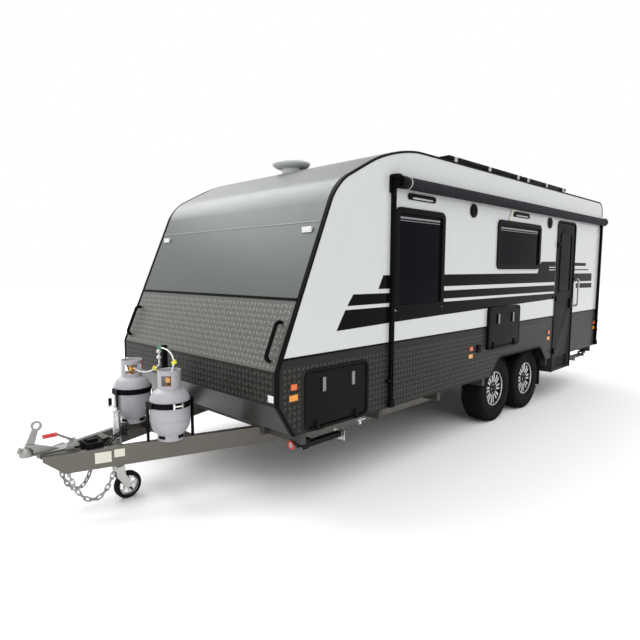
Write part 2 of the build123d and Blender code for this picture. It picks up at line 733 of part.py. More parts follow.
def make_awning():
    """A roll-out awning along the door side: the rolled cloth on its tube, and two folded, grooved arms."""
    roll = rod((AWNING_REAR, AWNING_Y, AWNING_Z), (AWNING_FRONT, AWNING_Y, AWNING_Z), AWNING_RADIUS)
    for x in (AWNING_REAR, AWNING_FRONT - CAP_LENGTH):
        roll += rod((x, AWNING_Y, AWNING_Z), (x + CAP_LENGTH, AWNING_Y, AWNING_Z), CAP_RADIUS)
    save("awning_roller", roll)
    arms = []
    bottom = FLOOR_LINE + ARM_FOOT_RISE
    face = HALF + ARM_DEPTH
    for x in (AWNING_REAR - ARM_WIDTH, AWNING_FRONT):
        along = (x, x + ARM_WIDTH)
        arm = block(along, (HALF, face), (bottom, AWNING_Z + CAP_RADIUS))
        groove_z = (bottom + ARM_WIDTH, AWNING_Z - 2 * CAP_RADIUS)
        arm -= block(span(x + ARM_WIDTH / 2, ARM_GROOVE), (face - ARM_GROOVE_DEPTH, face + 1), groove_z)
        head_z = (AWNING_Z - CAP_RADIUS, AWNING_Z + CAP_RADIUS / 2)
        arm += block(along, (HALF, AWNING_Y + ARM_WIDTH / 2), head_z)
        arms.append(arm)
    save("awning_arms", *arms)


def make_roof_fittings():
    """Solar panels on short feet, and the low round antenna seated on the curved roof."""
    pieces = []
    base = ROOF_LINE + PANEL_LIFT
    edges = (HALF - PANEL_INSET - PANEL_WIDTH, HALF - PANEL_INSET)
    front = ROOF_JOINT - PANEL_SETBACK
    for length in PANEL_LENGTHS:
        rear = front - length
        plate = block((rear, front), edges, (base, base + PANEL_THICKNESS))
        for x in (rear + PANEL_FOOT_INSET, (rear + front) / 2, front - PANEL_FOOT_INSET):
            for y in (edges[0] + PANEL_FOOT / 2, edges[1] - PANEL_FOOT / 2):
                plate += block(span(x, PANEL_FOOT), span(y, PANEL_FOOT), (ROOF_LINE, base))
        pieces.append(plate)
        front = rear - PANEL_GAP
    save("solar_panels", *pieces)

    rim_z = DOME_BASE_HEIGHT + DOME_HEIGHT / 3
    top = DOME_BASE_HEIGHT + DOME_HEIGHT
    edge = Polyline((0, top), (0, -DOME_SKIRT), (DOME_BASE_RADIUS, -DOME_SKIRT),
                    (DOME_BASE_RADIUS, DOME_BASE_HEIGHT), (DOME_RADIUS, rim_z))
    flat = DOME_RADIUS / 8
    crown = RadiusArc((DOME_RADIUS, rim_z), (flat, top), -DOME_RADIUS * 2.4).edges()
    crown += Line((flat, top), (0, top)).edges()
    dome = turned(make_face(edge.edges() + crown), (ROOF_JOINT + DOME_PAST, DOME_Y, ROOF_LINE), (0, 0, 1))
    reach = DOME_RADIUS + 1
    save("antenna_dome", dome - slab(side_outline(), (DOME_Y - reach, DOME_Y + reach)))


def grip(length, place):
    """A bow handle standing on the place's plane: its length along X, its reach along Y."""
    bow = RectangleRounded(length, 2 * GRIP_REACH, GRIP_BEND)
    bow -= RectangleRounded(length - 2 * GRIP_BAR, 2 * (GRIP_REACH - GRIP_BAR), GRIP_BEND - GRIP_BAR / 2)
    bow &= Pos(0, GRIP_REACH) * Rectangle(length + 2, 2 * GRIP_REACH)
    return place * Pos(0, 0, -GRIP_BAR / 2) * extrude(bow, GRIP_BAR)


def make_handles():
    """Bow handles: two on the front corners and one beside the door."""
    z = NOSE_HIGH + FRONT_GRIP_RISE
    rake = math.radians(FRONT_RAKE)
    slope = (-math.sin(rake), 0, math.cos(rake))
    front = Plane(origin=(front_at(z), HALF - FRONT_GRIP_INSET, z), x_dir=slope, z_dir=(0, 1, 0))
    beside = (DOOR_REAR - DOOR_GRIP_PAST, HALF, FLOOR_LINE + DOOR_GRIP_RISE)
    door = Plane(origin=beside, x_dir=(0, 0, 1), z_dir=(-1, 0, 0))
    save("grab_handles", *both(grip(FRONT_GRIP_LENGTH, front)), grip(DOOR_GRIP_LENGTH, door))


def side_plate(x, z, size):
    """A plate of (length, height, thickness) on the left wall."""
    length, height, proud = size
    return block(span(x, length), (HALF, HALF + proud), span(z, height))


def make_lamps():
    """Side markers, front markers and tail lamps, and the annex lights and speakers under the awning."""
    stations = (BODY_LENGTH - FRONT_LAMP_SETBACK, WHEEL_X + MIDDLE_LAMP_AHEAD, DOOR_FRONT + DOOR_LAMP_AHEAD,
                REAR_LAMP_AHEAD)
    amber = []
    for x in stations:
        amber += both(side_plate(x, FLOOR_LINE + LAMP_RISE, SIDE_LAMP))
        amber += both(side_plate(x, FLOOR_LINE + REFLECTOR_RISE, SIDE_REFLECTOR))
    save("side_lamps_amber", *amber)

    width, height, proud = MARKER_SIZE
    z = ROOF_LINE - MARKER_DROP
    y = span(HALF - MARKER_INSET, width)
    lamp = block((front_at(z) - 2 * proud, front_at(z) + proud), y, span(z, height))
    white = both(lamp - slab(side_outline(), (y[0] - 1, y[1] + 1)))
    width, height, proud = NOSE_REFLECTOR
    y = span(HALF - NOSE_REFLECTOR_INSET, width)
    nose_z = span(NOSE_LOW + NOSE_RADIUS + height / 2, height)
    white += both(block((BODY_LENGTH, BODY_LENGTH + proud), y, nose_z))
    save("front_lamps_white", *white)

    width, height, proud = TAIL_LAMP
    y = span(HALF - TAIL_LAMP_INSET, width)
    red = []
    for number in range(TAIL_LAMP_COUNT):
        low = FLOOR_LINE + TAIL_LAMP_RISE + number * TAIL_LAMP_PITCH
        red += both(block((-proud, 0), y, (low, low + height)))
    width, height, proud = MARKER_SIZE
    y = span(HALF - MARKER_INSET, width)
    red += both(block((-proud, 0), y, span(ROOF_LINE - TAIL_MARKER_DROP, height)))
    save("tail_lamps_red", *red)

    length, height, proud = ANNEX_LIGHT
    fittings = []
    for x in (FRONT_WINDOW_X, REAR_WINDOW_X):
        shape = panel(x, ROOF_LINE - ANNEX_DROP, length, height, height / 2 - 1)
        fittings.append(slab(shape, (HALF, HALF + proud)))
    z = ROOF_LINE - SPEAKER_DROP
    for x in ((FRONT_WINDOW_REAR + REAR_WINDOW_FRONT) / 2, (REAR_WINDOW_REAR + DOOR_FRONT) / 2):
        fittings.append(rod((x, HALF, z), (x, HALF + SPEAKER_PROUD, z), SPEAKER_RADIUS))
    save("annex_lights_and_speakers", *fittings)


def drawbar_rail():
    """The left drawbar rail: from under the chassis it bends in to the coupling, cut back below its tip."""
    half = RAIL_WIDTH / 2
    angle = math.radians(DRAWBAR_ANGLE)
    bend = DRAWBAR_TIP - (RAIL_Y - DRAWBAR_TIP_Y) / DRAWBAR_SPREAD
    mitre = half * math.tan(angle / 2)
    out_x = half * math.sin(angle)
    out_y = half * math.cos(angle)
    plan = outline(
        (DRAWBAR_REAR, RAIL_Y - half), (bend - mitre, RAIL_Y - half),
        (DRAWBAR_TIP - out_x, DRAWBAR_TIP_Y - out_y), (DRAWBAR_TIP + out_x, DRAWBAR_TIP_Y + out_y),
        (bend + mitre, RAIL_Y + half), (DRAWBAR_REAR, RAIL_Y + half),
    )
    bar = Pos(0, 0, DRAWBAR_BOTTOM) * extrude(plan, DRAWBAR_DEPTH)
    below = outline((-TIP_CUT, DRAWBAR_BOTTOM), (1, DRAWBAR_TOP - TIP_FACE), (1, DRAWBAR_BOTTOM - 1),
                    (-TIP_CUT, DRAWBAR_BOTTOM - 1))
    return bar - along_rail() * slab(below, (-RAIL_WIDTH, RAIL_WIDTH))


def along_rail():
    """The place whose X axis runs forward along the left drawbar rail, with its origin at the tip."""
    return Pos(DRAWBAR_TIP, DRAWBAR_TIP_Y, 0) * Rot(0, 0, -DRAWBAR_ANGLE)


def even_steps(first, last, count):
    """Evenly spaced stations from the first to the last."""
    return [first + (last - first) * step / (count - 1) for step in range(count)]


def make_chassis():
    """Main rails, bumper, cross-members, outriggers, the drawbar and the plates across it."""
    sides = span(RAIL_Y, RAIL_WIDTH)
    rails = both(block((-RAIL_TAIL, RAIL_FRONT), sides, (RAIL_BOTTOM, FLOOR_LINE)))
    bumper_top = FLOOR_LINE - BUMPER_DROP
    across = span(0, BODY_WIDTH - 2 * BUMPER_INSET)
    bumper = block((REAR_END, -RAIL_TAIL), across, (bumper_top - BUMPER_HEIGHT, bumper_top))
    save("chassis_rails", *rails, bumper)

    bay = BOX_HALF + CROSS_WIDTH
    stations = even_steps(CROSS_END, WHEEL_X - bay - STEP_SHEET, REAR_CROSSES)
    stations += even_steps(WHEEL_X + bay, RAIL_FRONT - 1.6 * CROSS_WIDTH, FRONT_CROSSES)
    members = []
    for x in stations:
        along = span(x, CROSS_WIDTH)
        members.append(block(along, (-sides[0], sides[0]), (RAIL_BOTTOM + CROSS_LIFT, FLOOR_LINE)))
        members += both(block(along, (sides[1], INNER_Y), (RAIL_BOTTOM, FLOOR_LINE)))

    left = drawbar_rail()
    save("drawbar_rails", *both(left))
    skin = RAIL_WIDTH / 2 / math.cos(math.radians(DRAWBAR_ANGLE))
    plate_z = (DRAWBAR_TOP - CROSS_PLATE_DEPTH, DRAWBAR_TOP)
    clamp_plate = (JOCKEY_X + JOCKEY_TUBE_RADIUS + CLAMP_REACH, 2 * CLAMP_REACH - 20)
    for x, width in (clamp_plate, (REGULATOR_X, 2 * CLAMP_REACH)):
        rear, front = span(x, width)
        plan = outline((rear, rail_y(rear) - skin), (front, rail_y(front) - skin),
                       (front, skin - rail_y(front)), (rear, skin - rail_y(rear)))
        members.append(Pos(0, 0, plate_z[0]) * extrude(plan, CROSS_PLATE_DEPTH))
    rear, front = (BALL_X - COUPLING_LENGTH, DRAWBAR_TIP)
    plan = outline((rear, rail_y(rear) + skin), (front, rail_y(front) + skin),
                   (front, -skin - rail_y(front)), (rear, -skin - rail_y(rear)))
    members.append(Pos(0, 0, DRAWBAR_TOP) * extrude(plan, NOSE_PLATE))
    for x, y, _ in (CABLE_ROUTE[0], CABLE_ROUTE[-1]):
        reach = sorted((y - math.copysign(CLIP_WIDTH / 2, y), y + math.copysign(RAIL_WIDTH, y)))
        clip = block(span(JOCKEY_X + x, CLIP_LENGTH), reach, (CLIP_Z - CLIP_HEIGHT, CLIP_Z))
        clip -= left if y > 0 else mirrored(left)
        members.append(clip.solids().sort_by(lambda solid: abs(solid.center().Y))[0])
    save("cross_members", *members)


def make_wheels():
    """Four tyres on dished, spoked rims."""
    sidewall = TYRE_WIDTH / 2
    tread = sidewall - SHOULDER_WIDTH
    shoulder = TYRE_RADIUS - SHOULDER_DROP
    bead = RIM_RADIUS + FIT
    tyre = spun(((bead, -sidewall), (shoulder, -sidewall), (TYRE_RADIUS, -tread),
                 (TYRE_RADIUS, tread), (shoulder, sidewall), (bead, sidewall)), (0, 0, 0), (0, 1, 0))
    half = RIM_WIDTH / 2
    dish = half - DISC_SETBACK
    cup = RIM_RADIUS - RIM_LIP
    rim = spun(((0, -half), (RIM_RADIUS, -half), (RIM_RADIUS, half), (cup, half), (cup, dish), (0, dish)),
               (0, 0, 0), (0, 1, 0))
    rim += rod((0, dish, 0), (0, half - HUB_SETBACK, 0), HUB_RADIUS)
    near = HUB_RADIUS + SPOKE_WEB / 2
    far = cup - SPOKE_WEB / 3
    pitch = math.tan(math.pi / SPOKE_COUNT)
    pocket = outline((near, near * pitch - SPOKE_WEB / 2), (far, far * pitch - 1.5 * SPOKE_WEB),
                     (far, 1.5 * SPOKE_WEB - far * pitch), (near, SPOKE_WEB / 2 - near * pitch))
    pocket = slab(pocket, (dish - 1.5 * DISC_SETBACK, dish + 1))
    for spoke in range(SPOKE_COUNT):
        rim -= Rot(0, spoke * 360 / SPOKE_COUNT, 0) * pocket
    rim -= rod((0, -half - 1, 0), (0, 0, 0), SPINDLE_RADIUS + FIT)
    for end, x in AXLES:
        for side, sign in SIDES:
            place = Pos(x, sign * WHEEL_Y, TYRE_RADIUS) * Rot(0, 0, 0 if sign > 0 else 180)
            save(f"tyre_{end}_{side}", place * tyre)
            save(f"rim_{end}_{side}", place * rim)
        tell(f"wheel_{end}", x, WHEEL_Y, TYRE_RADIUS)


def make_running_gear():
    """Beam axles on leaf springs, with hangers under the rails, and mudflaps."""
    half = AXLE_SIZE / 2
    beam_end = WHEEL_Y - RIM_WIDTH / 2 - STEP_SHEET
    axles = []
    springs = []
    for _, x in AXLES:
        beam = block(span(x, AXLE_SIZE), (-beam_end, beam_end), span(TYRE_RADIUS, AXLE_SIZE))
        axles.append(beam + rod((x, 1 - WHEEL_Y, TYRE_RADIUS), (x, WHEEL_Y - 1, TYRE_RADIUS), SPINDLE_RADIUS))
        reach = AXLE_SPACING / 2 - 1.5 * half
        seat = TYRE_RADIUS + half
        end = RAIL_BOTTOM - SPRING_LEAF - 4
        leaf = make_face(
            ThreePointArc((x - reach, end), (x, seat), (x + reach, end)).edge()
            + Line((x + reach, end), (x + reach, end + SPRING_LEAF))
            + ThreePointArc((x + reach, end + SPRING_LEAF), (x, seat + SPRING_STACK),
                            (x - reach, end + SPRING_LEAF)).edge()
            + Line((x - reach, end + SPRING_LEAF), (x - reach, end)))
        springs += both(slab(leaf, span(RAIL_Y, SPRING_WIDTH)))
    save("axles", *axles)
    cheek_z = (RAIL_BOTTOM - HANGER_DEPTH, RAIL_BOTTOM)
    for x in HANGERS:
        for y in (RAIL_Y - SPRING_WIDTH / 2 - HANGER_PLATE, RAIL_Y + SPRING_WIDTH / 2):
            springs += both(block(span(x, HANGER_LENGTH), (y, y + HANGER_PLATE), cheek_z))
    save("leaf_springs", *springs)
    flap_x = WHEEL_X - BOX_HALF - FLAP_THICKNESS
    flap = block((flap_x - FLAP_THICKNESS, flap_x), (TYRE_INNER_Y, TYRE_OUTER_Y), (FLAP_BOTTOM, FLOOR_LINE))
    save("mudflaps", *both(flap))


def make_steadies():
    """Wind-down corner legs, stowed along the chassis, on brackets under the outriggers."""
    y = HALF - STEADY_INSET
    pivot_z = RAIL_BOTTOM - STEADY_PIVOT_DROP
    ear_in = STEADY_WIDTH / 2 + 1
    ear_out = ear_in + STEADY_EAR
    half = STEADY_HEIGHT / 2
    arm_y = span(y, STEADY_WIDTH)
    arm_z = span(pivot_z, STEADY_HEIGHT)
    brackets = []
    for end, x, way in (("front", BODY_LENGTH - STEADY_FRONT_SETBACK, -1), ("rear", STEADY_REAR, 1)):
        top = block((x + way * 3.5 * half, x - way * 5 * half), span(y, 2 * ear_out),
                    (RAIL_BOTTOM - STEADY_EAR + 2, RAIL_BOTTOM))
        for low, high in ((-ear_out, -ear_in), (ear_in, ear_out)):
            top += block(span(x, 3 * half), (y + low, y + high), (pivot_z - half - 2, RAIL_BOTTOM))
        top += rod((x, y - ear_out, pivot_z), (x, y + ear_out, pivot_z), STEADY_PIN)
        screw_z = RAIL_BOTTOM - STEADY_SCREW - 4
        top += rod((x - way * 3 * half, y, screw_z), (x - way * 6 * half, y, screw_z), STEADY_SCREW)
        brackets += both(top)
        leg = block((x, x + way * STEADY_LENGTH), arm_y, arm_z)
        channel = (x + way * STEADY_HEIGHT, x + way * (STEADY_LENGTH - 2 * STEADY_WALL))
        leg -= block(channel, span(y, STEADY_WIDTH - 2 * STEADY_WALL), (arm_z[0] + STEADY_WALL, arm_z[1] + 1))
        leg += rod((x, arm_y[0], pivot_z), (x, arm_y[1], pivot_z), half)
        foot = (x + way * STEADY_LENGTH, x + way * (STEADY_LENGTH - STEADY_WALL - 2))
        leg += block(foot, span(y, STEADY_FOOT), span(pivot_z - STEADY_WALL - 1, STEADY_FOOT_HEIGHT))
        leg -= rod((x, y - STEADY_WIDTH, pivot_z), (x, y + STEADY_WIDTH, pivot_z), STEADY_PIN + FIT)
        save(f"steady_{end}_left", leg)
        save(f"steady_{end}_right", mirrored(leg))
        tell(f"steady_{end}", x, y, pivot_z)
    save("steady_brackets", *brackets)


def make_coupling():
    """Cast ball coupling with its rib, knob and raised lever."""
    rear = BALL_X - COUPLING_LENGTH
    radius = COUPLING_RADIUS
    flange = outline((rear, 1.3 * radius), (BALL_X, 0.8 * radius),
                     (BALL_X, -0.8 * radius), (rear, -1.3 * radius))
    cast = Pos(0, 0, DECK) * extrude(flange, COUPLING_FLANGE)
    top = DECK + COUPLING_HEIGHT
    rib = outline((rear + radius, DECK), (BALL_X, DECK),
                  (BALL_X, top + radius / 2), (BALL_X - radius, top + radius / 3))
    cast += slab(rib, span(0, 0.8 * radius))
    bowl = outline((0, DECK), (radius, DECK), (radius, DECK + 0.6 * COUPLING_HEIGHT),
                   (0.6 * radius, top), (0, top))
    cast += turned(bowl, (BALL_X, 0, 0), (0, 0, 1))
    knob_x = NOSE_TIP - 1.4 * COUPLING_KNOB
    knob = ((0, 0), (1.4 * COUPLING_KNOB, 0), (COUPLING_KNOB, 1.5 * COUPLING_KNOB),
            (0.3 * COUPLING_KNOB, 3 * COUPLING_KNOB), (0, 3 * COUPLING_KNOB))
    cast += spun(knob, (knob_x, 0, DECK + COUPLING_HEIGHT / 2), (0, 0, 1))
    lever_y = span(0, LEVER_THICKNESS)
    ring_x = BALL_X - LEVER_LEAN
    ring_z = DECK + LEVER_RISE
    lever = outline((BALL_X - radius, DECK + radius), (BALL_X + radius / 3, DECK + radius),
                    (ring_x + LEVER_RING / 2, ring_z), (ring_x - LEVER_RING / 2, ring_z))
    cast += slab(lever, lever_y)
    cast += rod((ring_x, lever_y[0], ring_z), (ring_x, lever_y[1], ring_z), LEVER_RING)
    cast -= rod((ring_x, lever_y[0] - 1, ring_z), (ring_x, lever_y[1] + 1, ring_z), 0.6 * LEVER_RING)
    cast -= rod((BALL_X, 0, DECK - 1), (BALL_X, 0, DECK + SOCKET_DEPTH), BALL_RADIUS + FIT)
    save("ball_coupling", cast)
    tell("ball_socket", BALL_X, 0, DECK + SOCKET_DEPTH / 2)


def make_handbrake():
    """Handbrake lever on its pivot plate, lying forward beside the coupling."""
    z = DECK + BRAKE_RISE / 2
    plate = outline((BRAKE_X - BRAKE_REACH / 2, DECK), (BRAKE_X + BRAKE_REACH / 2, DECK),
                    (BRAKE_X + BRAKE_PLATE, z + BRAKE_PLATE), (BRAKE_X - BRAKE_PLATE, z + BRAKE_PLATE))
    brake = slab(plate, span(BRAKE_Y, BRAKE_PLATE))
    bend = (BRAKE_X + BRAKE_REACH, BRAKE_Y, DECK + BRAKE_RISE)
    brake += rod((BRAKE_X, BRAKE_Y, z), bend, 0.6 * BRAKE_PLATE)
    brake += rod(bend, (bend[0] + BRAKE_GRIP, BRAKE_Y, bend[2]), BRAKE_PLATE)
    save("handbrake", brake)


def make_jockey():
    """Jockey wheel: tube in its clamp with the winder on top, winding leg, castor fork and wheel."""
    low = JOCKEY_TUBE_BOTTOM
    high = low + JOCKEY_TUBE_LENGTH
    foot = (JOCKEY_X, 0, low)
    cap = high + JOCKEY_CAP
    sleeve = tube(foot, (JOCKEY_X, 0, high), JOCKEY_TUBE_RADIUS, JOCKEY_LEG_RADIUS + FIT)
    sleeve += rod((JOCKEY_X, 0, high), (JOCKEY_X, 0, cap), JOCKEY_TUBE_RADIUS)
    clamp_x = (JOCKEY_X, JOCKEY_X + CLAMP_REACH)
    clamp = block(clamp_x, span(0, 2 * CLAMP_HALF), (DRAWBAR_TOP - CROSS_PLATE_DEPTH, DRAWBAR_TOP))
    sleeve += clamp - rod(foot, (JOCKEY_X, 0, high), JOCKEY_TUBE_RADIUS)
    crank_z = cap + 2 * JOCKEY_AXLE
    sleeve += rod((JOCKEY_X, 0, cap), (JOCKEY_X, 0, crank_z + JOCKEY_AXLE), JOCKEY_AXLE)
    sleeve += rod((JOCKEY_X, 0, crank_z), (JOCKEY_X, -JOCKEY_CRANK, crank_z + JOCKEY_AXLE), 0.9 * JOCKEY_AXLE)
    knob_foot = (JOCKEY_X, -JOCKEY_CRANK, crank_z)
    knob_head = (JOCKEY_X, -JOCKEY_CRANK, crank_z + 0.6 * JOCKEY_CRANK)
    sleeve += rod(knob_foot, knob_head, 1.6 * JOCKEY_AXLE)
    save("jockey_tube", sleeve)

    leg_low = JOCKEY_FORK_TOP + FIT
    leg = rod((JOCKEY_X, 0, leg_low), (JOCKEY_X, 0, leg_low + JOCKEY_LEG_LENGTH), JOCKEY_LEG_RADIUS)
    leg += rod((JOCKEY_X, 0, JOCKEY_FORK_TOP - FORK_CROWN + 4), (JOCKEY_X, 0, leg_low), KING_PIN)
    save("jockey_leg", leg)

    wheel_x = JOCKEY_X - JOCKEY_TRAIL
    hub_z = JOCKEY_WHEEL_RADIUS
    half = JOCKEY_WHEEL_WIDTH / 2
    inner = half + FORK_GAP
    outer = inner + FORK_PLATE
    crown = (JOCKEY_FORK_TOP - FORK_CROWN, JOCKEY_FORK_TOP)
    fork = rod((JOCKEY_X, 0, crown[0]), (JOCKEY_X, 0, crown[1]), outer)
    cheek = outline((JOCKEY_X - 36, crown[1]), (JOCKEY_X + 36, crown[1]), (JOCKEY_X + 30, crown[0] - 50),
                    (wheel_x + 26, hub_z - 12), (wheel_x - 22, hub_z - 14), (wheel_x - 16, hub_z + 30),
                    (JOCKEY_X - 40, crown[0] - 40))
    fork += slab(cheek, (inner, outer)) + slab(cheek, (-outer, -inner))
    fork -= rod((JOCKEY_X, 0, crown[0] - 1), (JOCKEY_X, 0, crown[1] + 1), KING_PIN + FIT)
    fork += rod((wheel_x, -outer, hub_z), (wheel_x, outer, hub_z), JOCKEY_AXLE)
    save("jockey_fork", fork)

    bore = JOCKEY_AXLE + FIT
    web = half - SPRING_LEAF
    wheel = spun(((bore, -half), (2 * bore, -half), (2 * bore, -web), (JOCKEY_RIM_RADIUS - 8, -web),
                  (JOCKEY_RIM_RADIUS, -half), (JOCKEY_WHEEL_RADIUS - 10, -half),
                  (JOCKEY_WHEEL_RADIUS, 14 - half), (JOCKEY_WHEEL_RADIUS, half - 14),
                  (JOCKEY_WHEEL_RADIUS - 10, half), (JOCKEY_RIM_RADIUS, half),
                  (JOCKEY_RIM_RADIUS - 8, web), (2 * bore, web), (2 * bore, half), (bore, half)),
                 (0, 0, 0), (0, 1, 0))
    pocket = outline((3 * bore, 8), (JOCKEY_RIM_RADIUS - 14, 26),
                     (JOCKEY_RIM_RADIUS - 14, -26), (3 * bore, -8))
    for spoke in range(JOCKEY_SPOKES):
        wheel -= Rot(0, spoke * 360 / JOCKEY_SPOKES, 0) * slab(pocket, (-half, half))
    save("jockey_wheel", Pos(wheel_x, 0, hub_z) * wheel)
    tell("jockey_castor", JOCKEY_X, 0, JOCKEY_FORK_TOP)
    tell("jockey_roller", wheel_x, 0, hub_z)


def bottle(port_angle, port_half, wheel_angle, hose_end, hose_run):
    """One gas bottle standing at its own origin: foot ring, domed body, collar with two ports, and valve."""
    low = FOOT_RING_HEIGHT + BOTTLE_DOME
    high = low + BOTTLE_BARREL
    top = high + BOTTLE_DOME
    knee = 0.8 * BOTTLE_RADIUS
    edge = Polyline((0, top), (0, FOOT_RING_HEIGHT), (FOOT_RING_RADIUS, FOOT_RING_HEIGHT)).edges()
    edge += RadiusArc((FOOT_RING_RADIUS, FOOT_RING_HEIGHT), (BOTTLE_RADIUS, low), -BOTTLE_RADIUS).edges()
    edge += Line((BOTTLE_RADIUS, low), (BOTTLE_RADIUS, high)).edges()
    edge += RadiusArc((BOTTLE_RADIUS, high), (knee, high + 0.6 * BOTTLE_DOME), -BOTTLE_DOME).edges()
    edge += RadiusArc((knee, high + 0.6 * BOTTLE_DOME), (0, top), -1.4 * BOTTLE_RADIUS).edges()
    body = turned(make_face(edge), (0, 0, 0), (0, 0, 1))
    ring = FOOT_RING_RADIUS - COLLAR_SHEET / 2
    body += tube((0, 0, 0), (0, 0, FOOT_RING_HEIGHT + COLLAR_SHEET), ring, ring - COLLAR_SHEET)
    base = top - COLLAR_SHEET * 4
    rim = base + COLLAR_HEIGHT
    collar = tube((0, 0, base), (0, 0, rim), COLLAR_RADIUS, COLLAR_RADIUS - COLLAR_SHEET)
    width = 2 * COLLAR_RADIUS * math.sin(math.radians(port_half))
    for angle in (port_angle, port_angle + 180):
        port = Pos(COLLAR_RADIUS, 0, base + COLLAR_HEIGHT / 2) * Box(COLLAR_RADIUS, width, PORT_HEIGHT)
        collar -= Rot(0, 0, angle) * port
    body += collar
    valve_z = base + COLLAR_HEIGHT / 2
    body += rod((0, 0, base), (0, 0, valve_z + 2 * VALVE_RADIUS), VALVE_RADIUS)
    knob = rod((0, 0, valve_z), (COLLAR_RADIUS / 2, 0, valve_z), VALVE_RADIUS / 2)
    knob += rod((0.35 * COLLAR_RADIUS, 0, valve_z), (COLLAR_RADIUS / 2, 0, valve_z), VALVE_WHEEL)
    body += Rot(0, 0, wheel_angle) * knob
    last = Vector(*hose_end)
    return body + rod(last + hose_run.normalized() * VALVE_STUB, last, HOSE_RADIUS + 3)


def make_gas():
    """Two gas bottles on the drawbar rails, their bands and posts, and the regulator between them."""
    foot = Vector(REGULATOR_X, 0, DRAWBAR_TOP)
    bottles = []
    holders = []
    rows = ((1, 44, 25, 44, LEFT_HOSE), (-1, 80, 50, 44, RIGHT_HOSE))
    for sign, port_angle, port_half, wheel_angle, route in rows:
        stand = Vector(BOTTLE_X, sign * BOTTLE_Y, DRAWBAR_TOP)
        end = foot + Vector(*route[-1]) - stand
        run = Vector(*route[-1]) - Vector(*route[-2])
        bottles.append(Pos(*stand) * bottle(port_angle, port_half, wheel_angle, tuple(end), run))
        reach = BOTTLE_RADIUS + FIT
        skin = reach + BAND_THICKNESS
        band = (DRAWBAR_TOP + BAND_RISE, DRAWBAR_TOP + BAND_RISE + BAND_HEIGHT)
        ring = tube((stand.X, stand.Y, band[0]), (stand.X, stand.Y, band[1]), skin, reach)
        for way in (-1, 1):
            x = BOTTLE_X + way * (skin + POST_SIZE / 2 - 1)
            post_y = span(sign * rail_y(x), POST_WIDTH)
            link_y = (min(stand.Y - POST_WIDTH, post_y[0]), max(stand.Y + POST_WIDTH, post_y[1]))
            post = block(span(x, POST_SIZE), link_y, band)
            post += block(span(x, POST_SIZE), post_y, (DRAWBAR_TOP, band[1]))
            ring += post - rod((stand.X, stand.Y, DRAWBAR_TOP), (stand.X, stand.Y, band[1] + 1), reach)
        holders.append(ring)
    save("gas_bottles", *bottles)
    save("bottle_straps", *holders)
    top = DRAWBAR_TOP + REGULATOR_HEIGHT
    post = block(span(REGULATOR_X, REGULATOR_POST), span(0, REGULATOR_POST), (DRAWBAR_TOP, top))
    save("regulator_post", post)

    left = foot + Vector(*LEFT_HOSE[0])
    right = foot + Vector(*RIGHT_HOSE[0])
    first_run = Vector(*RIGHT_HOSE[1]) - Vector(*RIGHT_HOSE[0])
    elbow = right - first_run.normalized() * VALVE_STUB
    regulator = rod((MANIFOLD_X, 0, elbow.Z), (MANIFOLD_X, 0, left.Z), MANIFOLD_RADIUS)
    regulator += rod((MANIFOLD_X, 0, left.Z), left, HOSE_RADIUS + 3)
    regulator += rod(elbow, right, HOSE_RADIUS + 3)
    half = REGULATOR_RADIUS / 2
    pill = ((0, -1.4 * half), (half, -1.4 * half), (2 * half, -0.5 * half), (2 * half, 0.5 * half),
            (half, 1.4 * half), (0, 1.4 * half))
    for share in (0.4, 0.75):
        z = elbow.Z + share * (left.Z - elbow.Z)
        regulator += spun(pill, (MANIFOLD_X, 0, z), (0, 0, 1))
        regulator += block((REGULATOR_X + REGULATOR_POST / 2, MANIFOLD_X), span(0, half), span(z, half))
    save("gas_regulator", regulator)


def flexible(points, radius):
    """A six-sided bar swept along smooth bends through the points, with its bends and volume reported."""
    radii = []
    for before, point, after in zip(points, points[1:], points[2:]):
        arrive = point - before
        leave = after - point
        half_turn = math.radians(arrive.get_angle(leave)) / 2
        radii.append(0.45 * min(arrive.length, leave.length) / math.tan(half_turn))
    path = FilletPolyline(*points, radius=radii)
    side = radius * math.sqrt(2 * math.pi / (CABLE_SECTION * math.sin(2 * math.pi / CABLE_SECTION)))
    bar = sweep(Plane(origin=path @ 0, z_dir=path % 0) * RegularPolygon(side, CABLE_SECTION), path=path)
    ratio = bar.volume / (math.pi * radius ** 2 * path.length)
    print("cord length", round(path.length, 1), "least bend", round(min(radii), 1),
          "volume ratio", round(ratio, 4))
    return bar


def make_hoses():
    """Gas hoses from the regulator to the bottles, and the trailer cables clipped across the drawbar."""
    foot = Vector(REGULATOR_X, 0, DRAWBAR_TOP)
    for side, route in (("left", LEFT_HOSE), ("right", RIGHT_HOSE)):
        save(f"gas_hose_{side}", flexible([foot + Vector(*point) for point in route], HOSE_RADIUS))
    for number in range(CABLE_COUNT):
        step = number - (CABLE_COUNT - 1) / 2
        shift = Vector(JOCKEY_X + step * CABLE_SHIFT[0], step * CABLE_SHIFT[1], 0)
        points = [shift + Vector(*point) for point in CABLE_ROUTE]
        save(f"trailer_cable_{number + 1}", flexible(points, CABLE_RADIUS))


def hanging_points(width, length, count):
    """Joints of a chain that hangs between two level anchors: equal steps along a catenary."""
    low, high = 1.0, 100 * width
    for _ in range(80):
        sag = (low + high) / 2
        if width / 2 / sag > 50 or 2 * sag * math.sinh(width / 2 / sag) > length:
            low = sag
        else:
            high = sag
    reach = [sag * math.asinh((number / count - 0.5) * length / sag) for number in range(count + 1)]
    return [(x, sag * (math.cosh(x / sag) - math.cosh(width / 2 / sag))) for x in reach]


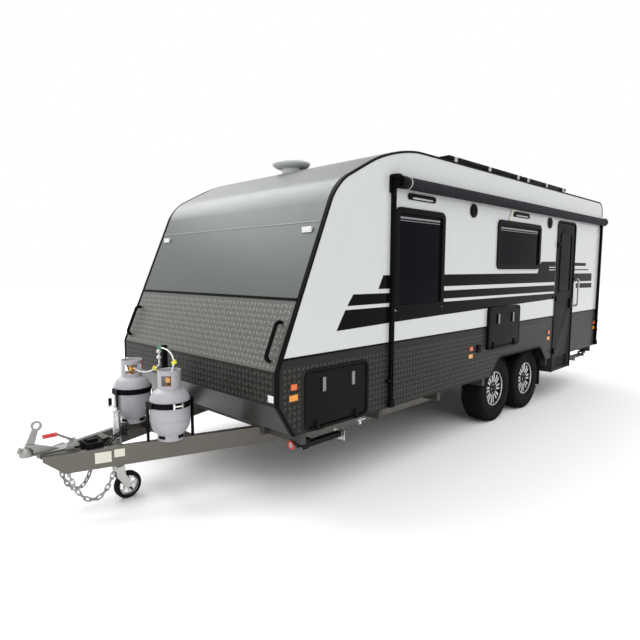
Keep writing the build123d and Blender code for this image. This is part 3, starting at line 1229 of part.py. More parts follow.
def make_chains():
    """Two safety chains, each hanging in a loop from two clevises under its drawbar rail."""
    ring = chamfer(Rectangle(LINK_INNER + 2 * LINK_WIRE, LINK_WIDTH).vertices(), LINK_CORNER)
    ring -= chamfer(Rectangle(LINK_INNER, LINK_WIDTH - 2 * LINK_WIRE).vertices(), LINK_CORNER / 2)
    link = Pos(0, 0, -LINK_WIRE / 2) * extrude(ring, LINK_WIRE)
    width = CHAIN_REAR - CHAIN_FRONT
    eye_z = DRAWBAR_BOTTOM - CLEVIS_DROP
    chain = None
    joints = hanging_points(width, LINK_COUNT * (LINK_INNER + LINK_BITE), LINK_COUNT)
    for number, (start, end) in enumerate(zip(joints, joints[1:])):
        slope = -math.degrees(math.atan2(end[1] - start[1], end[0] - start[0]))
        place = Pos((start[0] + end[0]) / 2, 0, (start[1] + end[1]) / 2 + eye_z)
        piece = place * Rot(0, slope, 0) * Rot(90 * (number % 2), 0, 0) * link
        chain = piece if chain is None else chain + piece
    for way in (-1, 1):
        x = way * (width / 2 - 0.15 * LINK_WIRE)
        pin_z = eye_z - 0.4 * LINK_WIRE
        chain += rod((x, -CLEVIS_HALF, pin_z), (x, CLEVIS_HALF, pin_z), LINK_WIRE / 2)
        for y in (-CLEVIS_HALF, CLEVIS_HALF - CLEVIS_PLATE):
            cheek_z = (eye_z - CLEVIS_DROP, DRAWBAR_BOTTOM)
            chain += block(span(x, 2 * CLEVIS_DROP), (y, y + CLEVIS_PLATE), cheek_z)
    middle = -(CHAIN_FRONT + CHAIN_REAR) / 2
    save("safety_chains", *both(along_rail() * Pos(middle, 0, 0) * chain))


make_shell()
make_sheet_boxes()
save("opening_frames", *make_windows(), *make_entry_door(), *make_boot_hatches(), *make_picnic_table())
make_awning()
make_roof_fittings()
make_handles()
make_lamps()
make_chassis()
make_wheels()
make_running_gear()
make_steadies()
make_coupling()
make_handbrake()
make_jockey()
make_gas()
make_hoses()
make_chains()
print("origin station", ORIGIN)
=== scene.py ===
import json
import math

import bmesh
import bpy
from bpy.props import FloatProperty, FloatVectorProperty, IntProperty, PointerProperty
from mathutils import Matrix, Vector


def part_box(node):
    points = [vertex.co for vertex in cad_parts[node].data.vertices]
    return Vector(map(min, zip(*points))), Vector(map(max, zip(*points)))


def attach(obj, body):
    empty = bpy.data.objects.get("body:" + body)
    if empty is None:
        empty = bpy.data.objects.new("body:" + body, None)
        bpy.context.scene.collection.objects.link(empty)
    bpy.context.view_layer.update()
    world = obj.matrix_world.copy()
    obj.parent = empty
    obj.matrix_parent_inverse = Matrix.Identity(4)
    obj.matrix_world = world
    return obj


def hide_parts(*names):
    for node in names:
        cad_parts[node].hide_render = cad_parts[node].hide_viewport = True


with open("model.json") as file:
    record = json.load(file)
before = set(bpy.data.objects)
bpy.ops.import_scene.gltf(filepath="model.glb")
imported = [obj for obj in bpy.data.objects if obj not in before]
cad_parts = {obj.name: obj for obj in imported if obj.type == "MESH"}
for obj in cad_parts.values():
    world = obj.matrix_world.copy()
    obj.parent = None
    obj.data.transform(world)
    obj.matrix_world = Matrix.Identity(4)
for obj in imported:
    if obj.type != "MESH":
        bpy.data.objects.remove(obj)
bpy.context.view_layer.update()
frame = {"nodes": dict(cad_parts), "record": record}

bl_info = {
    "name": "Travel Caravan",
    "version": (1, 0, 0),
    "blender": (4, 5, 0),
    "location": "View3D > Sidebar > Caravan",
    "description": "Finishes, trims and fittings of a tandem-axle travel caravan around its packed frame",
    "category": "Object",
}

# The frame: nodes, and each node's material slot and body
NODES = frame["nodes"]
SLOT_OF = {row["node"]: row["material_slot"] for row in frame["record"]["subparts"]}
BODY_OF = {node: body for body, nodes in frame["record"]["behaviour"]["bodies"].items() for node in nodes}
VAN = "van"

# Lines of the body, in metres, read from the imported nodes
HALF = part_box("side_claddings")[1].y
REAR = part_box("rear_wall")[0].x
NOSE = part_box("side_claddings")[1].x
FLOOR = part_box("side_claddings")[0].z
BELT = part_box("side_wall_left")[0].z
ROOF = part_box("roof_panel")[1].z
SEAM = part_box("front_upper_panel")[0].z
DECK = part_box("drawbar_rails")[1].z
RAIL_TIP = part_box("drawbar_rails")[1].x
POST = sum(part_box("regulator_post"), Vector()) / 2
JOCKEY_X = sum(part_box("jockey_leg"), Vector()).x / 2

# Turning points of the body's side, the wheel arch and the drawbar, as the part's source has them
UNDERCUT = 0.150
NOSE_LOW = FLOOR + 0.240
NOSE_HIGH = NOSE_LOW + 0.255
RAKE = math.radians(23.46)
BROW_DROP = 0.380
SHOULDER = math.radians(27)
BROW_X = NOSE - math.tan(RAKE) * (ROOF - BROW_DROP - NOSE_HIGH)
CROWN_X = BROW_X - BROW_DROP / math.tan(SHOULDER)
DRAWBAR_ANGLE = math.radians(17.74)
TIP_HALF = 0.047
BOTTLE_Y = TIP_HALF + math.tan(DRAWBAR_ANGLE) * 0.860
ARCH_X = -1.240
ARCH_TOP = 0.812
ARCH_FOOT_HALF = 0.815
ARCH_TOP_HALF = 0.570
# Windows as (x, z, width, height), and where the speakers and the solar panels' feet are
WINDOWS = ((1.045, 1.925, 0.742, 0.850), (-1.064, 2.117, 1.137, 0.500))
SPEAKERS = (0.0895, -1.944)
SOLAR_FEET = (0.270, -0.465, -1.200, -1.490, -2.080, -2.670)
# The corners of a rectangle in turn, and the distance within which two points are one
QUARTERS = ((-1, -1), (1, -1), (1, 1), (-1, 1))
MERGE = 0.00002


class CaravanColours(bpy.types.PropertyGroup):
    """Paints, plastics and metals that a user would change."""

    wall: FloatVectorProperty(name="Wall", description="Gloss panels of the sides, roof and rear",
                              subtype="COLOR", default=(0.545, 0.560, 0.562), min=0, max=1)
    front: FloatVectorProperty(name="Front", description="Metallic paint of the upper front",
                               subtype="COLOR", default=(0.058, 0.068, 0.065), min=0, max=1)
    plate: FloatVectorProperty(name="Chequer plate", description="Painted chequer plate round the lower body",
                               subtype="COLOR", default=(0.022, 0.0215, 0.0195), min=0, max=1)
    film: FloatVectorProperty(name="Stripes", description="Gloss film of the side stripes",
                              subtype="COLOR", default=(0.0035, 0.0035, 0.004), min=0, max=1)
    trim: FloatVectorProperty(name="Trim", description="Black frames, arms and handles",
                              subtype="COLOR", default=(0.0045, 0.0045, 0.005), min=0, max=1)
    chassis: FloatVectorProperty(name="Chassis", description="Metallic paint of the chassis and drawbar",
                                 subtype="COLOR", default=(0.105, 0.097, 0.084), min=0, max=1)
    bottle: FloatVectorProperty(name="Gas bottles", description="Paint of the gas bottles",
                                subtype="COLOR", default=(0.36, 0.36, 0.385), min=0, max=1)
    rubber: FloatVectorProperty(name="Rubber", description="Tyres, mudflaps and cables",
                                subtype="COLOR", default=(0.009, 0.009, 0.009), min=0, max=1)
    zinc: FloatVectorProperty(name="Zinc", description="Galvanised and plated steel",
                              subtype="COLOR", default=(0.52, 0.53, 0.53), min=0, max=1)
    alloy: FloatVectorProperty(name="Alloy", description="Machined faces of the wheels",
                               subtype="COLOR", default=(0.62, 0.62, 0.61), min=0, max=1)


class CaravanSizes(bpy.types.PropertyGroup):
    """Sizes of the trims that a user would change."""

    edge: FloatProperty(name="Edge", description="Softening of a hard edge", unit="LENGTH",
                        default=0.002, min=0.0005, max=0.01)
    film: FloatProperty(name="Film", description="Thickness of the stripes' film", unit="LENGTH",
                        default=0.0008, min=0.0002, max=0.003)
    mould: FloatProperty(name="Mould", description="Width of the corner moulds", unit="LENGTH",
                         default=0.015, min=0.005, max=0.06)
    pitch: FloatProperty(name="Plate pitch", description="Spacing of the chequer plate's lozenges",
                         unit="LENGTH", default=0.046, min=0.03, max=0.1)
    lugs: IntProperty(name="Tread lugs", description="Lugs round a tyre", default=46, min=20, max=80)
    spokes: IntProperty(name="Spokes", description="Pairs of spokes of a wheel", default=8, min=5, max=12)


class CaravanStage(bpy.types.PropertyGroup):
    """Camera, floor and light."""

    eye: FloatVectorProperty(name="Eye", description="Where the camera stands", subtype="TRANSLATION",
                             unit="LENGTH", default=(5.126, 3.889, 1.839))
    heading: FloatProperty(name="Heading", description="Turn of the view from the frame's X axis",
                           unit="ROTATION", default=math.radians(225.8))
    pitch: FloatProperty(name="Pitch", description="Tilt of the view above level", unit="ROTATION",
                         default=math.radians(-6.1))
    lens: FloatProperty(name="Lens", description="Focal length in millimetres", default=29.0, min=10, max=100)
    shift: FloatVectorProperty(name="Shift", description="Shift of the picture, in parts of its width",
                               size=2, default=(0.022, 0.007), min=-0.1, max=0.1)
    sky: FloatProperty(name="Sky", description="Strength of the sky's light", default=1.1, min=0, max=5)
    sun: FloatProperty(name="Sun", description="Strength of the soft sun", default=0.8, min=0, max=10)
    brow: FloatProperty(name="Brow light", description="Power of the light beyond the far side",
                        unit="POWER", default=1250, min=0, max=5000)
    floor: FloatProperty(name="Floor", description="Side of the floor", unit="LENGTH",
                         default=120, min=20, max=400)


def colours():
    """The colours set in the sidebar."""
    return bpy.context.scene.caravan_colours


def sizes():
    """The sizes set in the sidebar."""
    return bpy.context.scene.caravan_sizes


class Finish:
    """Short calls for building one material from nodes on Object coordinates."""

    def __init__(self, name, **sockets):
        self.material = bpy.data.materials.new(name)
        self.material.use_nodes = True
        self.tree = self.material.node_tree
        self.shader = self.tree.nodes["Principled BSDF"]
        fields = {field.name.lower(): field for field in self.shader.inputs}
        for socket, value in sockets.items():
            field = fields[socket.replace("_", " ")]
            field.default_value = (*value, 1) if hasattr(value, "__len__") else value
        self.place = self.add("ShaderNodeTexCoord").outputs["Object"]

    def add(self, kind, **settings):
        node = self.tree.nodes.new(kind)
        for name, value in settings.items():
            setattr(node, name, value)
        return node

    def feed(self, socket, value):
        if isinstance(value, bpy.types.NodeSocket):
            self.tree.links.new(value, socket)
        else:
            socket.default_value = value

    def sum(self, operation, *values):
        node = self.add("ShaderNodeMath", operation=operation)
        for socket, value in zip(node.inputs, values):
            self.feed(socket, value)
        return node.outputs["Value"]

    def axes(self):
        split = self.add("ShaderNodeSeparateXYZ")
        self.feed(split.inputs["Vector"], self.place)
        return split.outputs

    def noise(self, scale, detail=2.0, stretch=None):
        node = self.add("ShaderNodeTexNoise")
        node.inputs["Scale"].default_value = scale
        node.inputs["Detail"].default_value = detail
        place = self.place
        if stretch:
            mapping = self.add("ShaderNodeMapping")
            mapping.inputs["Scale"].default_value = stretch
            self.feed(mapping.inputs["Vector"], place)
            place = mapping.outputs["Vector"]
        self.feed(node.inputs["Vector"], place)
        return node.outputs["Fac"]

    def spread(self, factor, low, high):
        node = self.add("ShaderNodeMapRange")
        self.feed(node.inputs["Value"], factor)
        node.inputs["To Min"].default_value = low
        node.inputs["To Max"].default_value = high
        return node.outputs["Result"]

    def tint(self, factor, dark, light):
        node = self.add("ShaderNodeMix", data_type="RGBA")
        self.feed(node.inputs["Factor"], factor)
        node.inputs["A"].default_value = (*dark, 1)
        node.inputs["B"].default_value = (*light, 1)
        self.feed(self.shader.inputs["Base Color"], node.outputs["Result"])

    def bump(self, height, depth):
        node = self.add("ShaderNodeBump")
        node.inputs["Strength"].default_value = 1
        node.inputs["Distance"].default_value = depth
        self.feed(node.inputs["Height"], height)
        self.feed(self.shader.inputs["Normal"], node.outputs["Normal"])

    def rough(self, factor, low, high):
        self.feed(self.shader.inputs["Roughness"], self.spread(factor, low, high))


def scaled(colour, share):
    """A colour made darker or lighter."""
    return tuple(min(1.0, channel * share) for channel in colour[:3])


FINISHES = {}


def kept(make):
    """Make a finish at its first call, and hand out the same material after that."""
    def once(name, *values, **sockets):
        if name not in FINISHES:
            FINISHES[name] = make(name, *values, **sockets)
        return FINISHES[name]
    return once


@kept
def paint(name, colour, rough, grain, slope, vary=0.06, **sockets):
    """Sprayed paint or moulded plastic: slight variation in tone and gloss over a fine grain."""
    finish = Finish(name, **sockets)
    cloud = finish.noise(2.3, 4)
    finish.tint(cloud, scaled(colour, 1 - vary), scaled(colour, 1 + vary))
    finish.rough(finish.noise(14, 3), rough * 0.85, rough * 1.15)
    finish.bump(finish.noise(grain), slope / grain)
    return finish.material


@kept
def zinc_plate(name, colour, rough=0.34):
    """Galvanised steel with its spangle."""
    finish = Finish(name, metallic=0.85)
    flakes = finish.add("ShaderNodeTexVoronoi")
    flakes.inputs["Scale"].default_value = 90
    finish.feed(flakes.inputs["Vector"], finish.place)
    split = finish.add("ShaderNodeSeparateColor")
    finish.feed(split.inputs["Color"], flakes.outputs["Color"])
    finish.tint(split.outputs["Red"], scaled(colour, 0.78), scaled(colour, 1.1))
    finish.rough(split.outputs["Green"], rough * 0.8, rough * 1.2)
    finish.bump(finish.noise(300), 0.00008)
    return finish.material


@kept
def rubber(name, colour):
    """Road rubber: dusty and matt."""
    finish = Finish(name, specular_ior_level=0.05)
    finish.tint(finish.noise(16, 5), scaled(colour, 0.7), scaled(colour, 1.4))
    finish.rough(finish.noise(40), 0.62, 0.82)
    finish.bump(finish.noise(260), 0.0003)
    return finish.material


@kept
def lens(name, colour, across):
    """Moulded lamp lens with ribs inside, spaced along an axis."""
    finish = Finish(name, roughness=0.14, coat_weight=0.6, subsurface_weight=0.1)
    rib = finish.sum("SINE", finish.sum("MULTIPLY", finish.axes()[across], 900.0))
    finish.tint(finish.spread(rib, 0.3, 0.7), scaled(colour, 0.7), scaled(colour, 1.25))
    finish.bump(rib, 0.0006)
    return finish.material


@kept
def pane(name):
    """Dark tinted acrylic."""
    finish = Finish(name, roughness=0.03, specular_ior_level=0.02)
    finish.tint(finish.noise(1.6, 3), (0.001, 0.0015, 0.0025), (0.003, 0.004, 0.007))
    finish.bump(finish.noise(1.2, 1), 0.0015)
    return finish.material


@kept
def solar_cells(name):
    """Solar cells: dark squares between thin pale lines."""
    cell, half_line = 0.156, 0.014
    finish = Finish(name, roughness=0.10, coat_weight=0.5)
    axes = finish.axes()
    lines = []
    for axis in ("X", "Y"):
        part = finish.sum("FRACT", finish.sum("DIVIDE", axes[axis], cell))
        off = finish.sum("ABSOLUTE", finish.sum("SUBTRACT", part, 0.5))
        lines.append(finish.sum("LESS_THAN", off, half_line))
    finish.tint(finish.sum("MAXIMUM", *lines), (0.006, 0.008, 0.020), (0.20, 0.21, 0.23))
    finish.bump(finish.noise(180), 0.0001)
    return finish.material


@kept
def metal(name, colour, rough, grain=120, slope=0.02):
    """Bare metal: machined, plated or cast by its roughness and grain."""
    finish = Finish(name, metallic=1.0)
    finish.tint(finish.noise(grain / 3, 4), scaled(colour, 0.82), scaled(colour, 1.1))
    finish.rough(finish.noise(grain, 3), rough * 0.8, rough * 1.25)
    finish.bump(finish.noise(grain), slope / grain)
    return finish.material


@kept
def woven(name, colour):
    """Coated awning cloth: a fine weave with bands along the roll."""
    finish = Finish(name, specular_ior_level=0.12)
    axes = finish.axes()
    warp = finish.sum("SINE", finish.sum("MULTIPLY", axes["X"], 2200.0))
    band = finish.noise(1.0, 3, stretch=(9, 1, 1))
    finish.tint(band, scaled(colour, 0.6), scaled(colour, 1.8))
    finish.rough(band, 0.55, 0.75)
    finish.bump(warp, 0.0003)
    return finish.material


def wall_paint():
    return paint("wall_gloss", colours().wall, 0.22, 40, 0.004, vary=0.015, coat_weight=0.3)


def trim_black():
    return paint("trim_black", colours().trim, 0.38, 420, 0.02, specular_ior_level=0.03)


def film_black():
    return paint("stripe_film", colours().film, 0.10, 30, 0.003, vary=0.1, specular_ior_level=0.03)


def chassis_paint():
    return paint("chassis_paint", colours().chassis, 0.32, 160, 0.01, vary=0.08, metallic=0.5,
                 coat_weight=0.2)


def front_paint():
    return paint("front_metallic", colours().front, 0.44, 500, 0.004, vary=0.02, metallic=0.5,
                 coat_weight=0.45, coat_roughness=0.28)


# Painted shade: the plate between the lozenges is the chequer plate's colour made darker, a shaded copy set
# against the lozenges' painted highlight
def plate_side():
    return paint("plate_side", scaled(colours().plate, 0.8), 0.38, 220, 0.02, vary=0.1,
                 specular_ior_level=0.1)


# Painted highlight: the raised lozenges are the plate's colour made 1.6 times lighter, as if catching the
# light
def lozenge_side():
    return paint("lozenge_side", scaled(colours().plate, 1.6), 0.34, 220, 0.02, specular_ior_level=0.2)


# Painted light: the raked front's plate is the chequer plate's colour made 3.8 times lighter, a painted
# highlight where the front faces the light
def plate_front():
    return paint("plate_front", scaled(colours().plate, 3.8), 0.38, 220, 0.02, vary=0.1,
                 specular_ior_level=0.4)


# Painted light: the raked front's lozenges are the plate's colour made 6.6 times lighter, a painted highlight
def lozenge_front():
    return paint("lozenge_front", scaled(colours().plate, 6.6), 0.34, 220, 0.02, specular_ior_level=0.5)


def chrome():
    return metal("chrome", (0.70, 0.70, 0.69), 0.14, 60, 0.005)


def zinc_bright():
    return zinc_plate("zinc_bright", scaled(colours().zinc, 1.1), 0.3)


def latch_grey():
    return metal("latch_grey", (0.26, 0.26, 0.25), 0.34)


def brass():
    return metal("brass", (0.60, 0.33, 0.11), 0.3)


def red_paint():
    return paint("red_paint", (0.50, 0.025, 0.02), 0.35, 200, 0.01)


def cream():
    return paint("cream_plate", (0.62, 0.60, 0.52), 0.45, 200, 0.01)


def yellow():
    return paint("yellow_tag", (0.72, 0.66, 0.02), 0.45, 200, 0.01)


def clear_lens():
    return lens("clear_lens", (0.52, 0.52, 0.50), "X")


def bottle_paint():
    return paint("bottle_grey", colours().bottle, 0.36, 90, 0.02, vary=0.05)


def new_piece(name, bm, body, finishes, smooth=32, bevel=0.0):
    """Make an object of a bmesh, with its edges softened, riding on a body. Its place is in its mesh."""
    mesh = bpy.data.meshes.new(name)
    bm.to_mesh(mesh)
    bm.free()
    for finish in finishes if isinstance(finishes, (list, tuple)) else [finishes]:
        mesh.materials.append(finish)
    mesh.shade_smooth()
    mesh.set_sharp_from_angle(angle=math.radians(smooth))
    piece = bpy.data.objects.new(name, mesh)
    bpy.context.scene.collection.objects.link(piece)
    if bevel:
        soften = piece.modifiers.new("soft_edges", "BEVEL")
        soften.width = bevel
        soften.segments = 2
        soften.limit_method = "ANGLE"
        soften.angle_limit = math.radians(40)
        soften.harden_normals = True
    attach(piece, body)
    return piece


def refined(node, finishes, rule=None, bevel=None, smooth=32):
    """A copy of a CAD node with its points merged, flat faces joined and hard edges softened.

    The rule gives a face's place in the finishes from its middle and the face.
    """
    bm = bmesh.new()
    bm.from_mesh(NODES[node].data)
    bmesh.ops.remove_doubles(bm, verts=bm.verts, dist=MERGE)
    bmesh.ops.dissolve_limit(bm, angle_limit=math.radians(0.6), verts=bm.verts, edges=bm.edges)
    for face in bm.faces:
        face.material_index = int(rule(face.calc_center_bounds(), face)) if rule else 0
    piece = new_piece(f"{node}_finished", bm, BODY_OF[node], finishes, smooth,
                      sizes().edge if bevel is None else bevel)
    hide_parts(node)


def add_block(bm, middle, size, turn=None):
    """A box of a size about its middle, turned by a matrix. Returns its points."""
    matrix = Matrix.Translation(middle) @ (turn or Matrix()) @ Matrix.Diagonal((*size, 1))
    return bmesh.ops.create_cube(bm, size=1, matrix=matrix)["verts"]


def add_box(bm, low, high, turn=None):
    """A box between two corners, turned about its middle by a matrix."""
    low, high = Vector(low), Vector(high)
    add_block(bm, (low + high) / 2, high - low, turn)


def fresh(bm, before):
    """The faces made since a set of faces was taken."""
    return [face for face in bm.faces if face not in before]


def pull(bm, faces, shift):
    """Extrude faces along a shift."""
    pulled = bmesh.ops.extrude_face_region(bm, geom=faces)["geom"]
    points = [item for item in pulled if isinstance(item, bmesh.types.BMVert)]
    bmesh.ops.translate(bm, verts=points, vec=shift)


def add_prism(bm, corners, shift):
    """A flat outline of a few points, pulled along a shift into a solid."""
    before = set(bm.faces)
    pull(bm, [bm.faces.new([bm.verts.new(corner) for corner in corners])], shift)
    bmesh.ops.recalc_face_normals(bm, faces=fresh(bm, before))


def add_turned(bm, profile, centre, axis, steps=48, ring=False):
    """Spin (radius, distance along the axis) points about an axis; a ring's profile is closed."""
    axis = Vector(axis).normalized()
    side = axis.orthogonal().normalized()
    centre = Vector(centre)
    before = set(bm.faces)
    points = [bm.verts.new(centre + side * radius + axis * along) for radius, along in profile]
    ends = points[1:] + points[:1] if ring else points[1:]
    edges = [bm.edges.new(pair) for pair in zip(points, ends)]
    bmesh.ops.spin(bm, geom=points + edges, cent=centre, axis=axis, angle=math.tau, steps=steps,
                   use_merge=True)
    around = list({point for face in fresh(bm, before) for point in face.verts})
    bmesh.ops.remove_doubles(bm, verts=around, dist=MERGE)
    made = fresh(bm, before)
    bmesh.ops.recalc_face_normals(bm, faces=made)
    return made


def add_rod(bm, start, end, radius, steps=20):
    """A round bar between two points."""
    start, end = Vector(start), Vector(end)
    length = (end - start).length
    return add_turned(bm, ((0, 0), (radius, 0), (radius, length), (0, length)), start, end - start, steps)


def spin_copies(bm, faces, centre, axis, count):
    """Repeat faces evenly round an axis."""
    geom = list({item for face in faces for item in (face, *face.edges, *face.verts)})
    turn = math.tau * (count - 1) / count
    bmesh.ops.spin(bm, geom=geom, cent=centre, axis=axis, angle=turn, steps=count - 1, use_duplicate=True)


def rectangle(x, z, width, height, radius):
    """Corners of a rounded rectangle about a middle, as (x, z, rounding)."""
    return [(x + a * width / 2, z + b * height / 2, radius) for a, b in QUARTERS]


def add_plate(bm, x, z, width, height, radius, y):
    """A rounded plate facing sideways, between two Y values."""
    before = set(bm.faces)
    face = rounded_outline(bm, rectangle(x, z, width, height, radius), y[0], 6)
    pull(bm, [face], (0, y[1] - y[0], 0))
    bmesh.ops.recalc_face_normals(bm, faces=fresh(bm, before))


def add_frame(bm, corners, y, border, steps=14):
    """A flat border inside a rounded outline, between two Y values."""
    before = set(bm.faces)
    face = rounded_outline(bm, corners, y[0], steps)
    bmesh.ops.inset_region(bm, faces=[face], thickness=border, use_even_offset=True, use_boundary=True)
    bmesh.ops.delete(bm, geom=[face], context="FACES_ONLY")
    pull(bm, fresh(bm, before), (0, y[1] - y[0], 0))
    bmesh.ops.recalc_face_normals(bm, faces=fresh(bm, before))


def front_x(z):
    """Where the raked front face is at a height."""
    return NOSE - math.tan(RAKE) * (z - NOSE_HIGH)


def is_edge(_, face):
    """Whether a side panel's face is on its edge, not on a broad side."""
    return abs(face.normal.y) < 0.5


def proud_of_side(sign, rise):
    """The lower and the upper Y of what stands proud of a side."""
    return sorted((sign * HALF, sign * (HALF + rise)))


def mirrored(bm):
    """Add the mirror image on the van's other side."""
    bmesh.ops.mirror(bm, geom=bm.verts[:] + bm.edges[:] + bm.faces[:], axis="Y", merge_dist=-1)
    bmesh.ops.recalc_face_normals(bm, faces=bm.faces)


def body_corners():
    """The body's side outline as (x, z, rounding)."""
    return (
        (NOSE - UNDERCUT, FLOOR, 0.030), (NOSE, NOSE_LOW, 0.030), (NOSE, NOSE_HIGH, 0.030),
        (BROW_X, ROOF - BROW_DROP, 0.430), (CROWN_X, ROOF, 1.600), (REAR, ROOF, 0.180), (REAR, FLOOR, 0.0),
    )


def rounded_outline(bm, corners, y, steps=14):
    """A flat face through (x, z, rounding) corners, each rounded by a bevel of its point."""
    before = set(bm.faces)
    points = [bm.verts.new((x, y, z)) for x, z, _ in corners]
    bm.faces.new(points)
    flat = [Vector((x, z)) for x, z, _ in corners]
    for number, (point, (_, _, radius)) in enumerate(zip(points, corners)):
        if radius:
            back = flat[number - 1] - flat[number]
            ahead = flat[(number + 1) % len(flat)] - flat[number]
            reach = radius / math.tan(back.angle(ahead) / 2)
            bmesh.ops.bevel(bm, geom=[point], offset=reach, offset_type="OFFSET", segments=steps, profile=0.5,
                            affect="VERTICES", material=-1)
    return next(face for face in bm.faces if face not in before)


def cord_line(name, points, diameter, finish, node):
    """A round cord on one smooth spline through a route, standing for its CAD node."""
    curve = bpy.data.curves.new(name, "CURVE")
    curve.dimensions = "3D"
    curve.bevel_depth = diameter / 2
    curve.bevel_resolution = 4
    curve.resolution_u = 8
    curve.use_fill_caps = True
    line = curve.splines.new("NURBS")
    line.points.add(len(points) - 1)
    for point, place in zip(line.points, points):
        point.co = (*place, 1)
    line.order_u = 3
    line.use_endpoint_u = True
    curve.materials.append(finish)
    piece = bpy.data.objects.new(name, curve)
    bpy.context.scene.collection.objects.link(piece)
    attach(piece, VAN)
    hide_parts(node)


class CARAVAN_OT_stage(bpy.types.Operator):
    """Camera, pale floor and soft studio light"""

    bl_idname = "caravan.stage"
    bl_label = "Stage"

    def execute(self, context):
        stage = context.scene.caravan_stage
        camera = bpy.data.objects.new("photo_camera", bpy.data.cameras.new("photo_camera"))
        camera.location = stage.eye
        camera.rotation_euler = (math.pi / 2 + stage.pitch, 0, stage.heading - math.pi / 2)
        camera.data.lens = stage.lens
        camera.data.clip_end = 400
        camera.data.shift_x, camera.data.shift_y = stage.shift
        context.scene.collection.objects.link(camera)
        context.scene.camera = camera

        bm = bmesh.new()
        bmesh.ops.create_grid(bm, x_segments=1, y_segments=1, size=stage.floor / 2)
        mesh = bpy.data.meshes.new("studio_floor")
        bm.to_mesh(mesh)
        bm.free()
        floor = Finish("studio_floor", roughness=0.9, base_color=(0.98, 0.98, 0.98), specular_ior_level=0.0)
        mesh.materials.append(floor.material)
        ground = bpy.data.objects.new("studio_floor", mesh)
        context.scene.collection.objects.link(ground)

        sun = bpy.data.lights.new("soft_sun", "SUN")
        sun.energy = stage.sun
        sun.angle = math.radians(50)
        self.hang(context, sun, Vector((6, 7, 9)), Vector((-0.45, -0.62, -0.85)))
        brow = bpy.data.lights.new("brow_light", "AREA")
        brow.shape = "DISK"
        brow.size = 12
        brow.energy = stage.brow
        place = Vector((3.2, -7.4, 11.4))
        self.hang(context, brow, place, Vector((1.5, 0, 1.5)) - place)
        self.sky(context, stage.sky)
        context.scene.view_settings.view_transform = "Standard"
        return {"FINISHED"}

    def hang(self, context, lamp, place, way):
        """Hang a lamp at a place, shining along a way."""
        light = bpy.data.objects.new(lamp.name, lamp)
        light.location = place
        light.rotation_euler = way.to_track_quat("-Z", "Y").to_euler()
        context.scene.collection.objects.link(light)

    def sky(self, context, strength):
        """A soft sky for light, and plain white where the camera or a gloss looks past the object."""
        world = bpy.data.worlds.new("studio_sky")
        world.use_nodes = True
        context.scene.world = world
        tree = world.node_tree
        sky = tree.nodes["Background"]
        sky.inputs["Strength"].default_value = strength
        white = tree.nodes.new("ShaderNodeBackground")
        white.inputs["Color"].default_value = (1, 1, 1, 1)
        path = tree.nodes.new("ShaderNodeLightPath")
        mix = tree.nodes.new("ShaderNodeMixShader")
        place = tree.nodes.new("ShaderNodeTexCoord")
        split = tree.nodes.new("ShaderNodeSeparateXYZ")
        ramp = tree.nodes.new("ShaderNodeValToRGB")
        for element, position, grey in zip(ramp.color_ramp.elements, (0.0, 0.75), (0.5, 1.0)):
            element.position = position
            element.color = (grey, grey, grey, 1)
        tree.links.new(place.outputs["Generated"], split.inputs["Vector"])
        tree.links.new(split.outputs["Z"], ramp.inputs["Fac"])
        tree.links.new(ramp.outputs["Color"], sky.inputs["Color"])
        seen = path.outputs["Is Camera Ray"]
        for ray in ("Is Glossy Ray", "Is Transmission Ray"):
            either = tree.nodes.new("ShaderNodeMath")
            either.operation = "MAXIMUM"
            tree.links.new(seen, either.inputs[0])
            tree.links.new(path.outputs[ray], either.inputs[1])
            seen = either.outputs["Value"]
        tree.links.new(seen, mix.inputs["Fac"])
        tree.links.new(sky.outputs["Background"], mix.inputs[1])
        tree.links.new(white.outputs["Background"], mix.inputs[2])
        tree.links.new(mix.outputs["Shader"], tree.nodes["World Output"].inputs["Surface"])


# Routes of the hoses and cables, in metres: the hoses from the regulator post's foot, the cables from the
# ground under the jockey tube
LEFT_HOSE = ((0.045, 0.034, 0.675), (0.045, 0.092, 0.675), (0.044, 0.152, 0.664), (0.045, 0.206, 0.636),
             (0.053, 0.248, 0.594), (0.074, 0.277, 0.560), (0.101, 0.297, 0.525), (0.122, 0.309, 0.482))
RIGHT_HOSE = ((0.045, -0.030, 0.515), (0.050, -0.076, 0.484), (0.063, -0.130, 0.459),
              (0.082, -0.186, 0.445), (0.103, -0.241, 0.444), (0.123, -0.290, 0.456))
CABLE_ROUTE = ((-0.150, -0.222, 0.450), (-0.150, -0.222, 0.495), (-0.143, -0.203, 0.535),
               (-0.131, -0.168, 0.566), (-0.116, -0.112, 0.580), (-0.098, -0.050, 0.586),
               (-0.072, 0.015, 0.585), (-0.025, 0.070, 0.578), (0.038, 0.103, 0.568), (0.098, 0.119, 0.553),
               (0.136, 0.126, 0.533), (0.156, 0.129, 0.495), (0.156, 0.129, 0.450))
CABLE_SHIFT = Vector((0.020, -0.012, 0))
HOSE_DIAMETER = 0.012
CABLE_DIAMETER = 0.010


class CARAVAN_OT_cords(bpy.types.Operator):
    """Gas hoses and the trailer cables across the drawbar"""

    bl_idname = "caravan.cords"
    bl_label = "Hoses and cables"

    def execute(self, context):
        foot = Vector((POST.x, 0, DECK))
        white = paint("hose_white", (0.72, 0.72, 0.69), 0.4, 500, 0.0003)
        for side, route in (("left", LEFT_HOSE), ("right", RIGHT_HOSE)):
            points = [foot + Vector(point) for point in route]
            cord_line(f"hose_{side}", points, HOSE_DIAMETER, white, f"gas_hose_{side}")
        black = rubber("cable_rubber", colours().rubber)
        for number in (1, 2, 3):
            start = Vector((JOCKEY_X, 0, 0)) + CABLE_SHIFT * (number - 2)
            points = [start + Vector(point) for point in CABLE_ROUTE]
            cord_line(f"cable_{number}", points, CABLE_DIAMETER, black,
                      f"trailer_cable_{number}")
        return {"FINISHED"}


